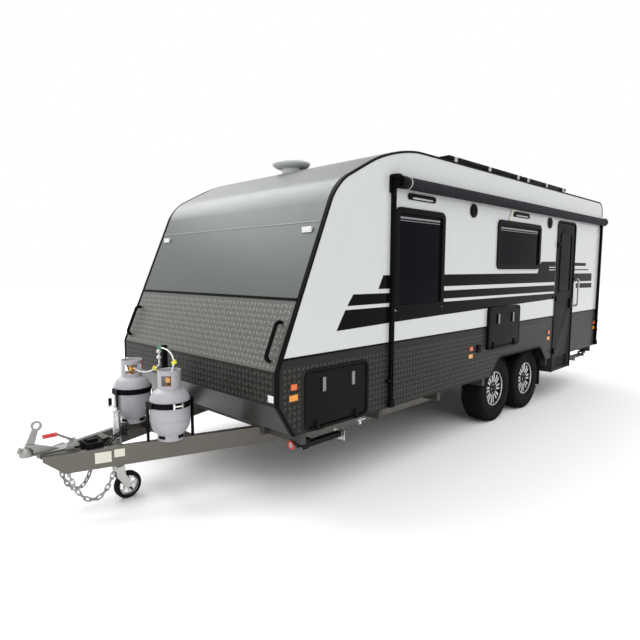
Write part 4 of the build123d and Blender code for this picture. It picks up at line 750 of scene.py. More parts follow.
class CARAVAN_OT_panels(bpy.types.Operator):
    """Walls, roof, front panels, cladding and floor"""

    bl_idname = "caravan.panels"
    bl_label = "Body panels"

    def execute(self, context):
        for node in ("roof_panel", "rear_wall"):
            refined(node, wall_paint(), bevel=0.0015)
        for node in ("side_wall_left", "side_wall_right"):
            refined(node, [wall_paint(), trim_black()], is_edge, bevel=0.001)
        refined("side_claddings", [plate_side(), trim_black()], is_edge, bevel=0.001)
        undercut = paint("undercut_paint", scaled(colours().plate, 0.9), 0.3, 200, 0.01,
                         specular_ior_level=0.3)
        # Painted light: the raked face above the nose takes the plate's lighter copy, the nose band the
        # sides' darker copy
        refined("front_lower_panel", [plate_front(), undercut, plate_side()],
                lambda middle, _: 1 if middle.z < NOSE_LOW else 2 if middle.z < NOSE_HIGH else 0, bevel=0)
        refined("front_upper_panel", front_paint(), bevel=0)
        refined("floor_panel", paint("floor_board", (0.10, 0.09, 0.08), 0.7, 60, 0.05, vary=0.2))
        refined("wheel_and_step_boxes", paint("box_black", (0.018, 0.018, 0.017), 0.5, 120, 0.03, vary=0.2))
        return {"FINISHED"}


class CARAVAN_OT_trims(bpy.types.Operator):
    """Edge moulds, belt and seam strips, rear cladding and blank plates"""

    bl_idname = "caravan.trims"
    bl_label = "Trims"

    def execute(self, context):
        self.edge_moulds()
        self.strips()
        self.plates()
        return {"FINISHED"}

    def edge_moulds(self):
        """Moulds round each side, turned in over the body's corner, and borders of the wheel arches."""
        mould = sizes().mould
        proud, turned_in, wall = 0.004, 0.026, 0.003
        bm = bmesh.new()
        add_frame(bm, body_corners(), (HALF, HALF + proud), mould)
        face = rounded_outline(bm, body_corners(), HALF + proud)
        rim = face.edges[:]
        bmesh.ops.delete(bm, geom=[face], context="FACES_ONLY")
        band = bmesh.ops.extrude_edge_only(bm, edges=rim)["geom"]
        points = [item for item in band if isinstance(item, bmesh.types.BMVert)]
        bmesh.ops.translate(bm, verts=points, vec=(0, -turned_in, 0))
        faces = [item for item in band if isinstance(item, bmesh.types.BMFace)]
        bmesh.ops.recalc_face_normals(bm, faces=faces)
        bmesh.ops.solidify(bm, geom=faces, thickness=-wall)
        foot = FLOOR + 0.002 + mould
        behind = NOSE - UNDERCUT - 0.1
        low = []
        for face in bm.faces:
            middle = face.calc_center_bounds()
            if middle.z < foot and middle.x < behind and abs(face.normal.x) < 0.5:
                low.append(face)
        bmesh.ops.delete(bm, geom=low, context="FACES")

        border, below, rounding = 0.020, FLOOR - 0.035, 0.115
        foot_half, top_half, top = ARCH_FOOT_HALF + border, ARCH_TOP_HALF + border, ARCH_TOP + border
        arch = ((ARCH_X - foot_half, below, 0), (ARCH_X + foot_half, below, 0),
                (ARCH_X + top_half, top, rounding), (ARCH_X - top_half, top, rounding))
        add_frame(bm, arch, (HALF, HALF + proud), border, 8)
        whole = bm.verts[:] + bm.edges[:] + bm.faces[:]
        bmesh.ops.bisect_plane(bm, geom=whole, plane_co=(0, 0, FLOOR + 0.001), plane_no=(0, 0, 1),
                               clear_inner=True)
        mirrored(bm)
        new_piece("edge_moulds", bm, VAN, trim_black())

    def strips(self):
        """Strips over the front's two joints and along the belt, clear of the entry door."""
        mould = sizes().mould
        tilt = Matrix.Rotation(-RAKE, 4, "Y")
        half = HALF - 0.034
        bm = bmesh.new()
        joint = bmesh.new()
        for strip, z, tall, out in ((bm, SEAM, 0.022, 0.004), (joint, SEAM + 0.580, 0.012, 0.003)):
            x = front_x(z)
            add_box(strip, (x - out, -half, z - tall / 2), (x + out, half, z + tall / 2), tilt)
        # Painted highlight: the upper joint's strip is the front paint made 2.6 times lighter, standing in
        # for the light it catches
        grey = paint("joint_grey", scaled(colours().front, 2.6), 0.4, 200, 0.01)
        new_piece("front_joint_strip", joint, VAN, grey, bevel=0.001)
        door_low, door_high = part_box("entry_door_leaf")
        rear, front = REAR + mould, front_x(BELT) - mould
        behind_door, before_door = door_low.x - 0.045, door_high.x + 0.018
        for start, end, sign in ((rear, behind_door, 1), (before_door, front, 1), (rear, front, -1)):
            near, far = proud_of_side(sign, 0.0025)
            add_box(bm, (start, near, BELT - 0.007), (end, far, BELT + 0.009))
        new_piece("belt_and_seam_strips", bm, VAN, trim_black(), bevel=0.0008)

    def plates(self):
        """The rear cladding, and two blank plates on the left drawbar rail."""
        bm = bmesh.new()
        add_box(bm, (REAR - 0.002, -HALF + 0.002, FLOOR + 0.004), (REAR + 0.001, HALF - 0.002, BELT))
        new_piece("rear_cladding", bm, VAN, plate_side())
        bm = bmesh.new()
        along = Matrix.Rotation(-DRAWBAR_ANGLE, 4, "Z")
        tip = Vector((RAIL_TIP - 0.008, TIP_HALF, 0))
        rail_half, thick = 0.0258, 0.0015
        for back, width, low, high in ((0.40, 0.115, 0.412, 0.494), (0.515, 0.075, 0.440, 0.500)):
            middle = tip + along @ Vector((-back, rail_half, (low + high) / 2))
            add_block(bm, middle, (width, thick, high - low), along)
        new_piece("blank_plates", bm, VAN, cream())


# Bare border of the chequer plate at an edge and at an opening, and its lozenges' height
PLATE_MARGIN = 0.034
OPENING_MARGIN = 0.045
LOZENGE_TALL = 0.0020


def add_lozenges(bm, origin, across, up, columns, rows, free=None):
    """Raised lozenges, turned by turns, over a grid of cells on a plane.

    The free rule tells whether a spot is bare plate.
    """
    across, up = Vector(across), Vector(up)
    plane = Matrix((across, up, across.cross(up))).transposed().to_4x4()
    pitch = sizes().pitch
    shape = Matrix.Diagonal((pitch * 0.46, pitch * 0.24, LOZENGE_TALL, 1))
    rise = Matrix.Translation((0, 0, LOZENGE_TALL / 2))
    strip = bpy.data.meshes.new("lozenge_strip")
    for column in range(columns):
        stack = bmesh.new()
        for row in range(rows):
            spot = Vector(origin) + across * pitch * (column + 0.5) + up * pitch * (row + 0.5)
            if free is None or free(spot):
                turn = Matrix.Rotation(math.radians(45 if (column + row) % 2 else -45), 4, "Z")
                bmesh.ops.create_cone(stack, cap_ends=True, segments=6, radius1=1, radius2=0.55, depth=1,
                                      matrix=Matrix.Translation(spot) @ plane @ rise @ turn @ shape)
        stack.to_mesh(strip)
        stack.free()
        bm.from_mesh(strip)
    bpy.data.meshes.remove(strip)


class CARAVAN_OT_lozenges(bpy.types.Operator):
    """Raised lozenges of the chequer plate round the lower body"""

    bl_idname = "caravan.lozenges"
    bl_label = "Chequer plate"

    openings = {
        "left": [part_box(node) for node in ("boot_hatch_left", "entry_door_leaf", "picnic_table_leaf")],
        "right": [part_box("boot_hatch_right")],
    }

    def execute(self, context):
        pitch = sizes().pitch
        foot = FLOOR + 0.012
        rows = int((BELT - FLOOR - PLATE_MARGIN) / pitch)
        columns = int((NOSE - REAR) / pitch)
        for side, sign, start in (("left", 1, NOSE), ("right", -1, REAR)):
            bm = bmesh.new()
            add_lozenges(bm, (start, sign * HALF, foot), (-sign, 0, 0), (0, 0, 1), columns, rows,
                         lambda spot: self.side_free(spot, side))
            # The sides' lozenges take the plate's painted-highlight copy
            new_piece(f"lozenges_{side}", bm, VAN, lozenge_side(), smooth=20)

        count = int(2 * (HALF - PLATE_MARGIN) / pitch)
        edge = count * pitch / 2
        above = 0.010
        nose_rows = int((NOSE_HIGH - NOSE_LOW) / pitch)
        slope = Vector((-math.sin(RAKE), 0, math.cos(RAKE)))
        front_foot = Vector((NOSE, -edge, NOSE_HIGH)) + slope * above
        front_rows = int(((SEAM - NOSE_HIGH) / math.cos(RAKE) - 0.025) / pitch)
        # Painted light: the raked front's lozenges take the plate's lighter copy, the rear and nose take the
        # sides' copy
        for name, origin, across, up, high, finish, slot in (
            ("rear", (REAR - 0.002, edge, foot), (0, -1, 0), (0, 0, 1), rows, lozenge_side(),
             "dark_cladding"),
            ("nose", (NOSE, -edge, NOSE_LOW + above), (0, 1, 0), (0, 0, 1), nose_rows, lozenge_side(),
             "gunmetal_front"),
            ("front", front_foot, (0, 1, 0), slope, front_rows, lozenge_front(), "gunmetal_front"),
        ):
            bm = bmesh.new()
            add_lozenges(bm, origin, across, up, count, high)
            new_piece(f"lozenges_{name}", bm, VAN, finish, smooth=20)
        return {"FINISHED"}

    def side_free(self, spot, side):
        """Whether a spot on a side's cladding lies clear of its edge, the wheel arch and the openings."""
        low = max(0.0, NOSE_LOW - spot.z) * UNDERCUT / (NOSE_LOW - FLOOR)
        high = max(0.0, spot.z - NOSE_HIGH) * math.tan(RAKE)
        if not REAR + PLATE_MARGIN < spot.x < NOSE - low - high - PLATE_MARGIN:
            return False
        rise = (spot.z - FLOOR) / (ARCH_TOP - FLOOR)
        arch = ARCH_FOOT_HALF + 0.070 - (ARCH_FOOT_HALF - ARCH_TOP_HALF) * rise
        if rise < 1.2 and abs(spot.x - ARCH_X) < arch:
            return False
        for near, far in self.openings[side]:
            within_x = near.x - OPENING_MARGIN < spot.x < far.x + OPENING_MARGIN
            if within_x and near.z - OPENING_MARGIN < spot.z < far.z + OPENING_MARGIN:
                return False
        return True


# Stripes on each side as (x, z) outlines, counted from the body's rear and from the ground
STRIPES = (
    ((5.656, 1.790), (5.722, 1.674), (5.502, 1.674), (5.502, 1.790)),
    ((4.708, 1.790), (4.708, 1.674), (1.846, 1.668), (1.846, 1.945), (2.329, 1.938), (2.440, 1.790)),
    ((6.044, 1.640), (6.115, 1.550), (5.502, 1.550), (5.502, 1.636)),
    ((4.708, 1.632), (4.708, 1.552), (1.846, 1.540), (1.846, 1.626)),
    ((6.138, 1.519), (6.240, 1.361), (5.502, 1.379), (5.502, 1.519)),
    ((5.502, 1.474), (5.502, 1.379), (4.708, 1.394), (4.708, 1.474)),
    ((4.708, 1.522), (4.708, 1.394), (1.846, 1.440), (1.846, 1.514)),
)
REAR_STRIPES = (
    ((1.120, 1.935), (1.120, 1.890), (0.640, 1.890), (0.640, 1.935)),
    ((1.120, 1.842), (1.120, 1.826), (0.520, 1.826), (0.520, 1.842)),
    ((1.120, 1.780), (1.120, 1.664), (0.350, 1.660), (0.350, 1.778)),
    ((1.020, 1.636), (1.020, 1.566), (0.335, 1.556), (0.335, 1.628)),
)
MIDDLE_STRIPES = (
    ((1.846, 1.940), (1.846, 1.890), (1.120, 1.890), (1.120, 1.935)),
    ((1.846, 1.842), (1.846, 1.826), (1.120, 1.826), (1.120, 1.842)),
    ((1.846, 1.790), (1.846, 1.668), (1.120, 1.664), (1.120, 1.780)),
    ((1.846, 1.626), (1.846, 1.540), (1.020, 1.566), (1.020, 1.636)),
    ((1.846, 1.514), (1.846, 1.440), (1.290, 1.466), (1.360, 1.514)),
)
PIN_LINES = (
    ((2.060, 1.872), (2.060, 1.862), (1.846, 1.862), (1.846, 1.872)),
    ((2.060, 1.838), (2.060, 1.828), (1.846, 1.828), (1.846, 1.838)),
)


class CARAVAN_OT_stripes(bpy.types.Operator):
    """Film stripes along both sides"""

    bl_idname = "caravan.stripes"
    bl_label = "Stripes"

    def execute(self, context):
        film = sizes().film
        for side, sign, middle in (("left", 1, ()), ("right", -1, MIDDLE_STRIPES)):
            for name, outlines, rise, finish, slot in (
                ("stripes", STRIPES + REAR_STRIPES + middle, film, film_black(), "black_trim"),
                ("pin_lines", PIN_LINES, film * 2, wall_paint(), "pale_wall"),
            ):
                bm = bmesh.new()
                for outline in outlines:
                    add_prism(bm, [(REAR + x, sign * HALF, z) for x, z in outline], (0, sign * rise, 0))
                new_piece(f"{name}_{side}", bm, VAN, finish)
        return {"FINISHED"}


class CARAVAN_OT_openings(bpy.types.Operator):
    """Window frames and panes, entry door, boot hatches and picnic table"""

    bl_idname = "caravan.openings"
    bl_label = "Openings"

    def execute(self, context):
        latch = 0.17
        hatch = paint("hatch_charcoal", (0.008, 0.0085, 0.009), 0.42, 700, 0.03, specular_ior_level=0.04)
        hatch_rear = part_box("boot_hatch_left")[0].x - 0.05
        refined("opening_frames", [trim_black(), hatch],
                lambda middle, _: middle.x > hatch_rear and middle.z < BELT)
        refined("window_panes", pane("tinted_pane"), bevel=0)
        refined("entry_door_glass", pane("tinted_pane"), bevel=0)
        refined("entry_door_leaf", trim_black())
        for side in ("left", "right"):
            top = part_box(f"boot_hatch_{side}")[1].z
            refined(f"boot_hatch_{side}", [hatch, latch_grey()],
                    lambda middle, _: abs(middle.y) > HALF + 0.001 and middle.z > top - latch)
        table = paint("table_black", (0.004, 0.004, 0.004), 0.25, 300, 0.01, specular_ior_level=0.03)
        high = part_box("picnic_table_leaf")[1]
        refined("picnic_table_leaf", [table, latch_grey()],
                lambda middle, _: middle.y > high.y - 0.013 and middle.z > high.z - latch)
        self.window_details()
        return {"FINISHED"}

    def window_details(self):
        """Beads round the panes, and the blinds' strips behind their upper edges."""
        frame_width, bead, strip_end = 0.030, 0.012, 0.05
        beads = bmesh.new()
        strips = bmesh.new()
        for x, z, width, height in WINDOWS:
            for sign in (1, -1):
                corners = rectangle(x, z, width - 2 * frame_width, height - 2 * frame_width, 0.02)
                add_frame(beads, corners, (sign * HALF, sign * (HALF + 0.003)), bead, 5)
                near, far = proud_of_side(sign, 0.0012)
                half = width / 2 - strip_end
                top = z + height / 2 - 0.052
                for drop, tall in ((0.0, 0.016), (0.030, 0.006)):
                    add_box(strips, (x - half, near, top - drop - tall), (x + half, far, top - drop))
        new_piece("pane_beads", beads, VAN, trim_black())
        silver = paint("blind_silver", (0.22, 0.225, 0.23), 0.3, 90, 0.01, metallic=0.4)
        new_piece("blind_strips", strips, VAN, silver)


class CARAVAN_OT_fittings(bpy.types.Operator):
    """Awning, roof fittings and handles"""

    bl_idname = "caravan.fittings"
    bl_label = "Awning, roof and handles"

    def execute(self, context):
        self.awning()
        self.solar_panels()
        self.antenna()
        door_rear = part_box("entry_door_leaf")[0].x
        refined("grab_handles", [trim_black(), metal("grip_alloy", (0.55, 0.55, 0.54), 0.3)],
                lambda middle, _: middle.x < door_rear, bevel=0.009)
        return {"FINISHED"}

    def awning(self):
        """The roller with its ring and pull strap, and the arms with their brackets, feet and knobs."""
        low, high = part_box("awning_roller")
        centre = (low + high) / 2
        cap = 0.071
        refined("awning_roller", [woven("awning_cloth", (0.009, 0.010, 0.013)), trim_black()],
                lambda middle, _: not low.x + cap < middle.x < high.x - cap)
        refined("awning_arms", trim_black())
        bm = bmesh.new()
        add_turned(bm, ((0.0515, -0.004), (0.0545, -0.003), (0.0545, 0.003), (0.0515, 0.004)),
                   (high.x - cap - 0.05, centre.y, centre.z), (1, 0, 0), 40)
        new_piece("awning_ring", bm, VAN, cream())
        bm = bmesh.new()
        strap_x, strap_z = -0.800, 2.462
        slant = Matrix.Rotation(math.radians(-35), 4, "Y")
        add_block(bm, (strap_x, HALF + 0.006, strap_z), (0.052, 0.003, 0.16), slant)
        add_box(bm, (strap_x - 0.10, HALF, strap_z + 0.053), (strap_x, centre.y - 0.03, strap_z + 0.078))
        new_piece("pull_strap", bm, VAN, cream(), bevel=0.001)

        bm = bmesh.new()
        beyond, knob_z, pin_z, foot_z = 0.017, 0.87, 1.02, 0.632
        knob = ((0, -0.03), (0.016, -0.03), (0.019, -0.02), (0.019, 0.0), (0, 0.0))
        for x, way in ((high.x + beyond, 1), (low.x - beyond, -1)):
            add_box(bm, (x - 0.03, HALF, centre.z + 0.03), (x + 0.03, centre.y + 0.02, centre.z + 0.062))
            add_box(bm, (x - 0.045, HALF, centre.z - 0.09), (x + 0.045, HALF + 0.016, centre.z + 0.05))
            add_turned(bm, knob, (x + way * 0.048, HALF + 0.018, knob_z), (way, 0, 0), 20)
            add_box(bm, (x - 0.028, HALF, foot_z), (x + 0.028, HALF + 0.046, foot_z + 0.068))
            add_rod(bm, (x, HALF + 0.036, pin_z), (x, HALF + 0.044, pin_z), 0.013, 16)
        new_piece("awning_brackets", bm, VAN, trim_black(), bevel=0.002)

    def solar_panels(self):
        """The solar panels' cells in their frames, and clamps on feet down to the roof."""
        low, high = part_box("solar_panels")
        refined("solar_panels", [trim_black(), solar_cells("solar_cells")],
                lambda middle, face: face.normal.z > 0.9 and middle.z > high.z - 0.001)
        half = 0.028
        bm = bmesh.new()
        for x in SOLAR_FEET:
            for y, way in ((high.y, 1), (low.y, -1)):
                leg = y + way * 0.003
                add_box(bm, (x - half, y - 0.012, high.z - 0.024), (x + half, y + 0.012, high.z - 0.004))
                add_box(bm, (x - half, leg - 0.006, ROOF), (x + half, leg + 0.006, high.z - 0.02))
        alloy = metal("clamp_alloy", (0.5, 0.5, 0.49), 0.35)
        new_piece("solar_clamps", bm, VAN, alloy, bevel=0.001)

    def antenna(self):
        """A saucer on a stem, with its profile in parts of its radius."""
        low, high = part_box("antenna_dome")
        centre = (low + high) / 2
        radius = (high.x - low.x) / 2
        crown, stem_gap = 0.051, 0.09
        saucer = ((0, -0.040), (0.5, -0.040), (0.72, -0.034), (0.88, -0.020), (0.97, -0.002), (1, 0.012),
                  (0.97, 0.024), (0.86, 0.036), (0.5, 0.047), (0, crown))
        bm = bmesh.new()
        add_turned(bm, [(radius * share, along) for share, along in saucer],
                   (centre.x, centre.y, high.z - crown), (0, 0, 1), 64)
        add_rod(bm, (centre.x, centre.y, low.z), (centre.x, centre.y, high.z - stem_gap), radius * 0.5, 48)
        white = paint("dome_white", (0.66, 0.67, 0.68), 0.35, 300, 0.01)
        dome = new_piece("antenna_dome_finished", bm, VAN, white, smooth=50)
        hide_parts("antenna_dome")


class CARAVAN_OT_lamps(bpy.types.Operator):
    """Lamps, reflectors, annex lights, speakers and the outside socket"""

    bl_idname = "caravan.lamps"
    bl_label = "Lamps"

    def execute(self, context):
        reflector_top, light_z, speaker_z = 0.945, 2.466, 2.442
        socket_x, socket_z = -0.119, 0.976
        orange = lens("reflector_orange", (0.80, 0.30, 0.005), "Z")
        refined("side_lamps_amber", [lens("amber_lens", (0.78, 0.13, 0.012), "X"), orange],
                lambda middle, _: middle.z < reflector_top, bevel=0.003)
        refined("front_lamps_white", lens("white_lens", (0.80, 0.80, 0.79), "Y"), bevel=0.003)
        refined("tail_lamps_red", lens("red_lens", (0.40, 0.008, 0.008), "Y"), bevel=0.004)
        low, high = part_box("annex_lights_and_speakers")
        refined("annex_lights_and_speakers", trim_black(), bevel=0.003)
        bm = bmesh.new()
        for x, _, _, _ in WINDOWS:
            add_plate(bm, x, light_z, 0.32, 0.016, 0.006, (high.y - 0.001, high.y + 0.002))
        new_piece("annex_lenses", bm, VAN, clear_lens(), bevel=0.001)
        bm = bmesh.new()
        for x in SPEAKERS:
            for radius in (0.018, 0.034, 0.050):
                add_turned(bm, ((radius, 0.0), (radius + 0.004, 0.002), (radius + 0.008, 0.0)),
                           (x, low.y + 0.014, speaker_z), (0, 1, 0), 32)
        new_piece("speaker_rings", bm, VAN, trim_black())
        bm = bmesh.new()
        add_plate(bm, socket_x, socket_z, 0.086, 0.090, 0.010, (HALF, HALF + 0.014))
        add_plate(bm, socket_x, socket_z + 0.004, 0.062, 0.058, 0.008, (HALF + 0.013, HALF + 0.020))
        new_piece("outside_socket", bm, VAN, trim_black(), bevel=0.002)
        return {"FINISHED"}


class CARAVAN_OT_underneath(bpy.types.Operator):
    """Chassis, running gear, steadies and mudflaps"""

    bl_idname = "caravan.underneath"
    bl_label = "Chassis"

    def execute(self, context):
        refined("drawbar_rails", chassis_paint(), bevel=0.004)
        # Painted shade: the rails and cross members under the body are the chassis paint made 0.3 times as
        # light, standing in for the shade under the van
        under = paint("underside_paint", scaled(colours().chassis, 0.3), 0.5, 160, 0.02)
        for node in ("chassis_rails", "cross_members"):
            refined(node, under, bevel=0.004)
        black = paint("steel_black", (0.008, 0.008, 0.008), 0.42, 200, 0.03, specular_ior_level=0.1)
        for node in ("axles", "leaf_springs"):
            refined(node, black, bevel=0.003)
        refined("mudflaps", rubber("flap_rubber", colours().rubber))
        zinc = zinc_plate("zinc_spangle", colours().zinc)
        for node in ("steady_front_left", "steady_front_right", "steady_rear_left", "steady_rear_right"):
            low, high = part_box(node)
            foot = low.x if low.x > 0 else high.x
            refined(node, [black, zinc], lambda middle, _: abs(middle.x - foot) < 0.012)
        refined("steady_brackets", black)
        self.steady_screws()
        bm = bmesh.new()
        tap = Vector((1.800, 1.130, FLOOR))
        add_rod(bm, tap + Vector((0, 0, -0.095)), tap + Vector((0, 0, 0.005)), 0.014, 12)
        add_rod(bm, tap + Vector((-0.045, 0.014, -0.052)), tap + Vector((0.045, 0.014, -0.052)), 0.010, 10)
        new_piece("drain_tap", bm, VAN, zinc_bright())
        return {"FINISHED"}

    def steady_screws(self):
        """The red ring and the hexagon of each steady's screw."""
        screw_y, screw_z, gap = 1.07, 0.502, 0.098
        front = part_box("steady_front_left")[1].x + gap
        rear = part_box("steady_rear_left")[0].x - gap
        profile = ((0.021, 0.0), (0.034, 0.0), (0.034, 0.010), (0.021, 0.010))
        rings = bmesh.new()
        hubs = bmesh.new()
        for x, way in ((front, 1), (rear, -1)):
            for y in (screw_y, -screw_y):
                add_turned(rings, profile, (x, y, screw_z), (way, 0, 0), 24, ring=True)
                for reach, radius, steps in ((0.007, 0.0215, 24), (0.014, 0.012, 6)):
                    add_rod(hubs, (x, y, screw_z), (x + way * reach, y, screw_z), radius, steps)
        new_piece("steady_rings", rings, VAN, red_paint(), bevel=0.0015)
        new_piece("steady_hubs", hubs, VAN, zinc_bright())


class CARAVAN_OT_drawbar(bpy.types.Operator):
    """Coupling, handbrake, jockey wheel, gas bottles and chains"""

    bl_idname = "caravan.drawbar"
    bl_label = "Drawbar fittings"

    def execute(self, context):
        cast = metal("cast_grey", (0.30, 0.30, 0.29), 0.42, 240, 0.05)
        refined("ball_coupling", cast, bevel=0.004)
        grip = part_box("handbrake")[1].x - 0.0945
        refined("handbrake", [cast, red_paint()], lambda middle, _: middle.x > grip, bevel=0.003)
        low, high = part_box("jockey_tube")
        refined("jockey_tube", [zinc_bright(), trim_black()],
                lambda middle, _: middle.z > high.z - 0.068 and middle.y < low.y + 0.033, bevel=0.003)
        refined("jockey_leg", zinc_bright())
        refined("jockey_fork", metal("fork_alloy", (0.56, 0.56, 0.54), 0.36), bevel=0.003)
        hub = sum(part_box("jockey_wheel"), Vector()) / 2
        hub_radius = 0.0795

        def is_hub(_, face):
            reach = max(math.hypot(point.co.x - hub.x, point.co.z - hub.z) for point in face.verts)
            return reach < hub_radius

        tyre = rubber("wheel_rubber", colours().rubber)
        refined("jockey_wheel", [tyre, metal("hub_alloy", (0.6, 0.6, 0.6), 0.22)], is_hub, bevel=0.003)

        low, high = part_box("gas_bottles")
        stands = [Vector(((low.x + high.x) / 2, y, low.z)) for y in (BOTTLE_Y, -BOTTLE_Y)]

        def is_valve(middle, _):
            near = min(math.hypot(middle.x - stand.x, middle.y - stand.y) for stand in stands)
            return near < 0.060 and middle.z > low.z + 0.405

        refined("gas_bottles", [bottle_paint(), brass()], is_valve, bevel=0.002)
        refined("bottle_straps", trim_black(), bevel=0.0015)
        refined("regulator_post", trim_black())
        refined("gas_regulator", zinc_bright())
        chain = zinc_plate("chain_zinc", scaled(colours().zinc, 0.62), 0.4)
        refined("safety_chains", chain, bevel=0.0034, smooth=60)
        self.bottle_details(stands)
        self.hose_details(stands[1])
        return {"FINISHED"}

    def bottle_details(self, stands):
        """Rolled rims and foot slots of the gas bottles, and buckles on their straps."""
        beads = ((0.086, 0.541, 0.005), (0.1015, 0.004, 0.004), (0.1552, 0.160, 0.0025))
        eighths = [number * math.tau / 8 for number in range(8)]
        rims = bmesh.new()
        slots = bmesh.new()
        for stand in stands:
            for radius, rise, roll in beads:
                profile = [(radius + roll * math.cos(turn), rise + roll * math.sin(turn)) for turn in eighths]
                add_turned(rims, profile, stand, (0, 0, 1), 48, ring=True)
            for turn in (20, 110, 200, 290):
                spin = Matrix.Rotation(math.radians(turn), 4, "Z")
                add_block(slots, stand + spin @ Vector((0.1015, 0, 0.030)), (0.005, 0.058, 0.022), spin)
        new_piece("bottle_rims", rims, VAN, bottle_paint())
        new_piece("bottle_slots", slots, VAN, trim_black())

        strap_radius, strap_z = 0.163, 0.2875
        bar, bridge = (0.012, 0.016, 0.044), (0.010, 0.06, 0.012)
        bm = bmesh.new()
        for stand, turn in zip(stands, (84, 250)):
            for shift, size in ((-0.035, bar), (0.0, bridge), (0.035, bar)):
                spin = Matrix.Rotation(math.radians(turn) + shift / strap_radius, 4, "Z")
                add_block(bm, stand + spin @ Vector((strap_radius, 0, strap_z)), size, spin)
        new_piece("strap_buckles", bm, VAN, chrome(), bevel=0.002)

    def hose_details(self, stand):
        """Tags on the hoses and on the far bottle, the brake box, and the regulator's inlet."""
        post = Vector((POST.x, 0, DECK))
        bm = bmesh.new()
        for place, turn in (((0.060, 0.262, 0.582), 40), ((0.050, -0.076, 0.490), -50)):
            spin = Matrix.Rotation(math.radians(turn), 4, "X") @ Matrix.Rotation(math.radians(30), 4, "Z")
            add_block(bm, post + Vector(place), (0.016, 0.040, 0.034), spin)
        new_piece("hose_tags", bm, VAN, yellow(), bevel=0.002)
        bm = bmesh.new()
        spin = Matrix.Rotation(math.radians(138), 4, "Z")
        add_block(bm, stand + spin @ Vector((0.0895, 0, 0.502)), (0.003, 0.022, 0.056), spin)
        new_piece("bottle_tag", bm, VAN, red_paint())

        bm = bmesh.new()
        add_box(bm, (3.600, 0.010, 0.470), (3.722, 0.150, 0.560))
        add_box(bm, (3.622, 0.030, 0.555), (3.700, 0.100, 0.578))
        for y in (0.050, 0.080):
            add_rod(bm, (3.715, y, 0.532), (3.790, y * 0.9, 0.542), 0.009, 12)
        add_rod(bm, (3.640, 0.040, 0.515), (3.500, 0.010, 0.530), 0.011, 12)
        new_piece("brake_box", bm, VAN, trim_black(), bevel=0.004)

        bm = bmesh.new()
        top = post + Vector((0.045, 0, 0.675))
        nut = ((0, -0.012), (0.017, -0.012), (0.017, 0.010), (0.010, 0.018), (0, 0.018))
        add_turned(bm, nut, top, (0, 0, 1), 6)
        add_rod(bm, top + Vector((0, 0.012, 0)), top + Vector((0, 0.040, 0)), 0.0105, 6)
        green = paint("fitting_green", (0.03, 0.22, 0.10), 0.4, 200, 0.01)
        new_piece("regulator_inlet", bm, VAN, green)


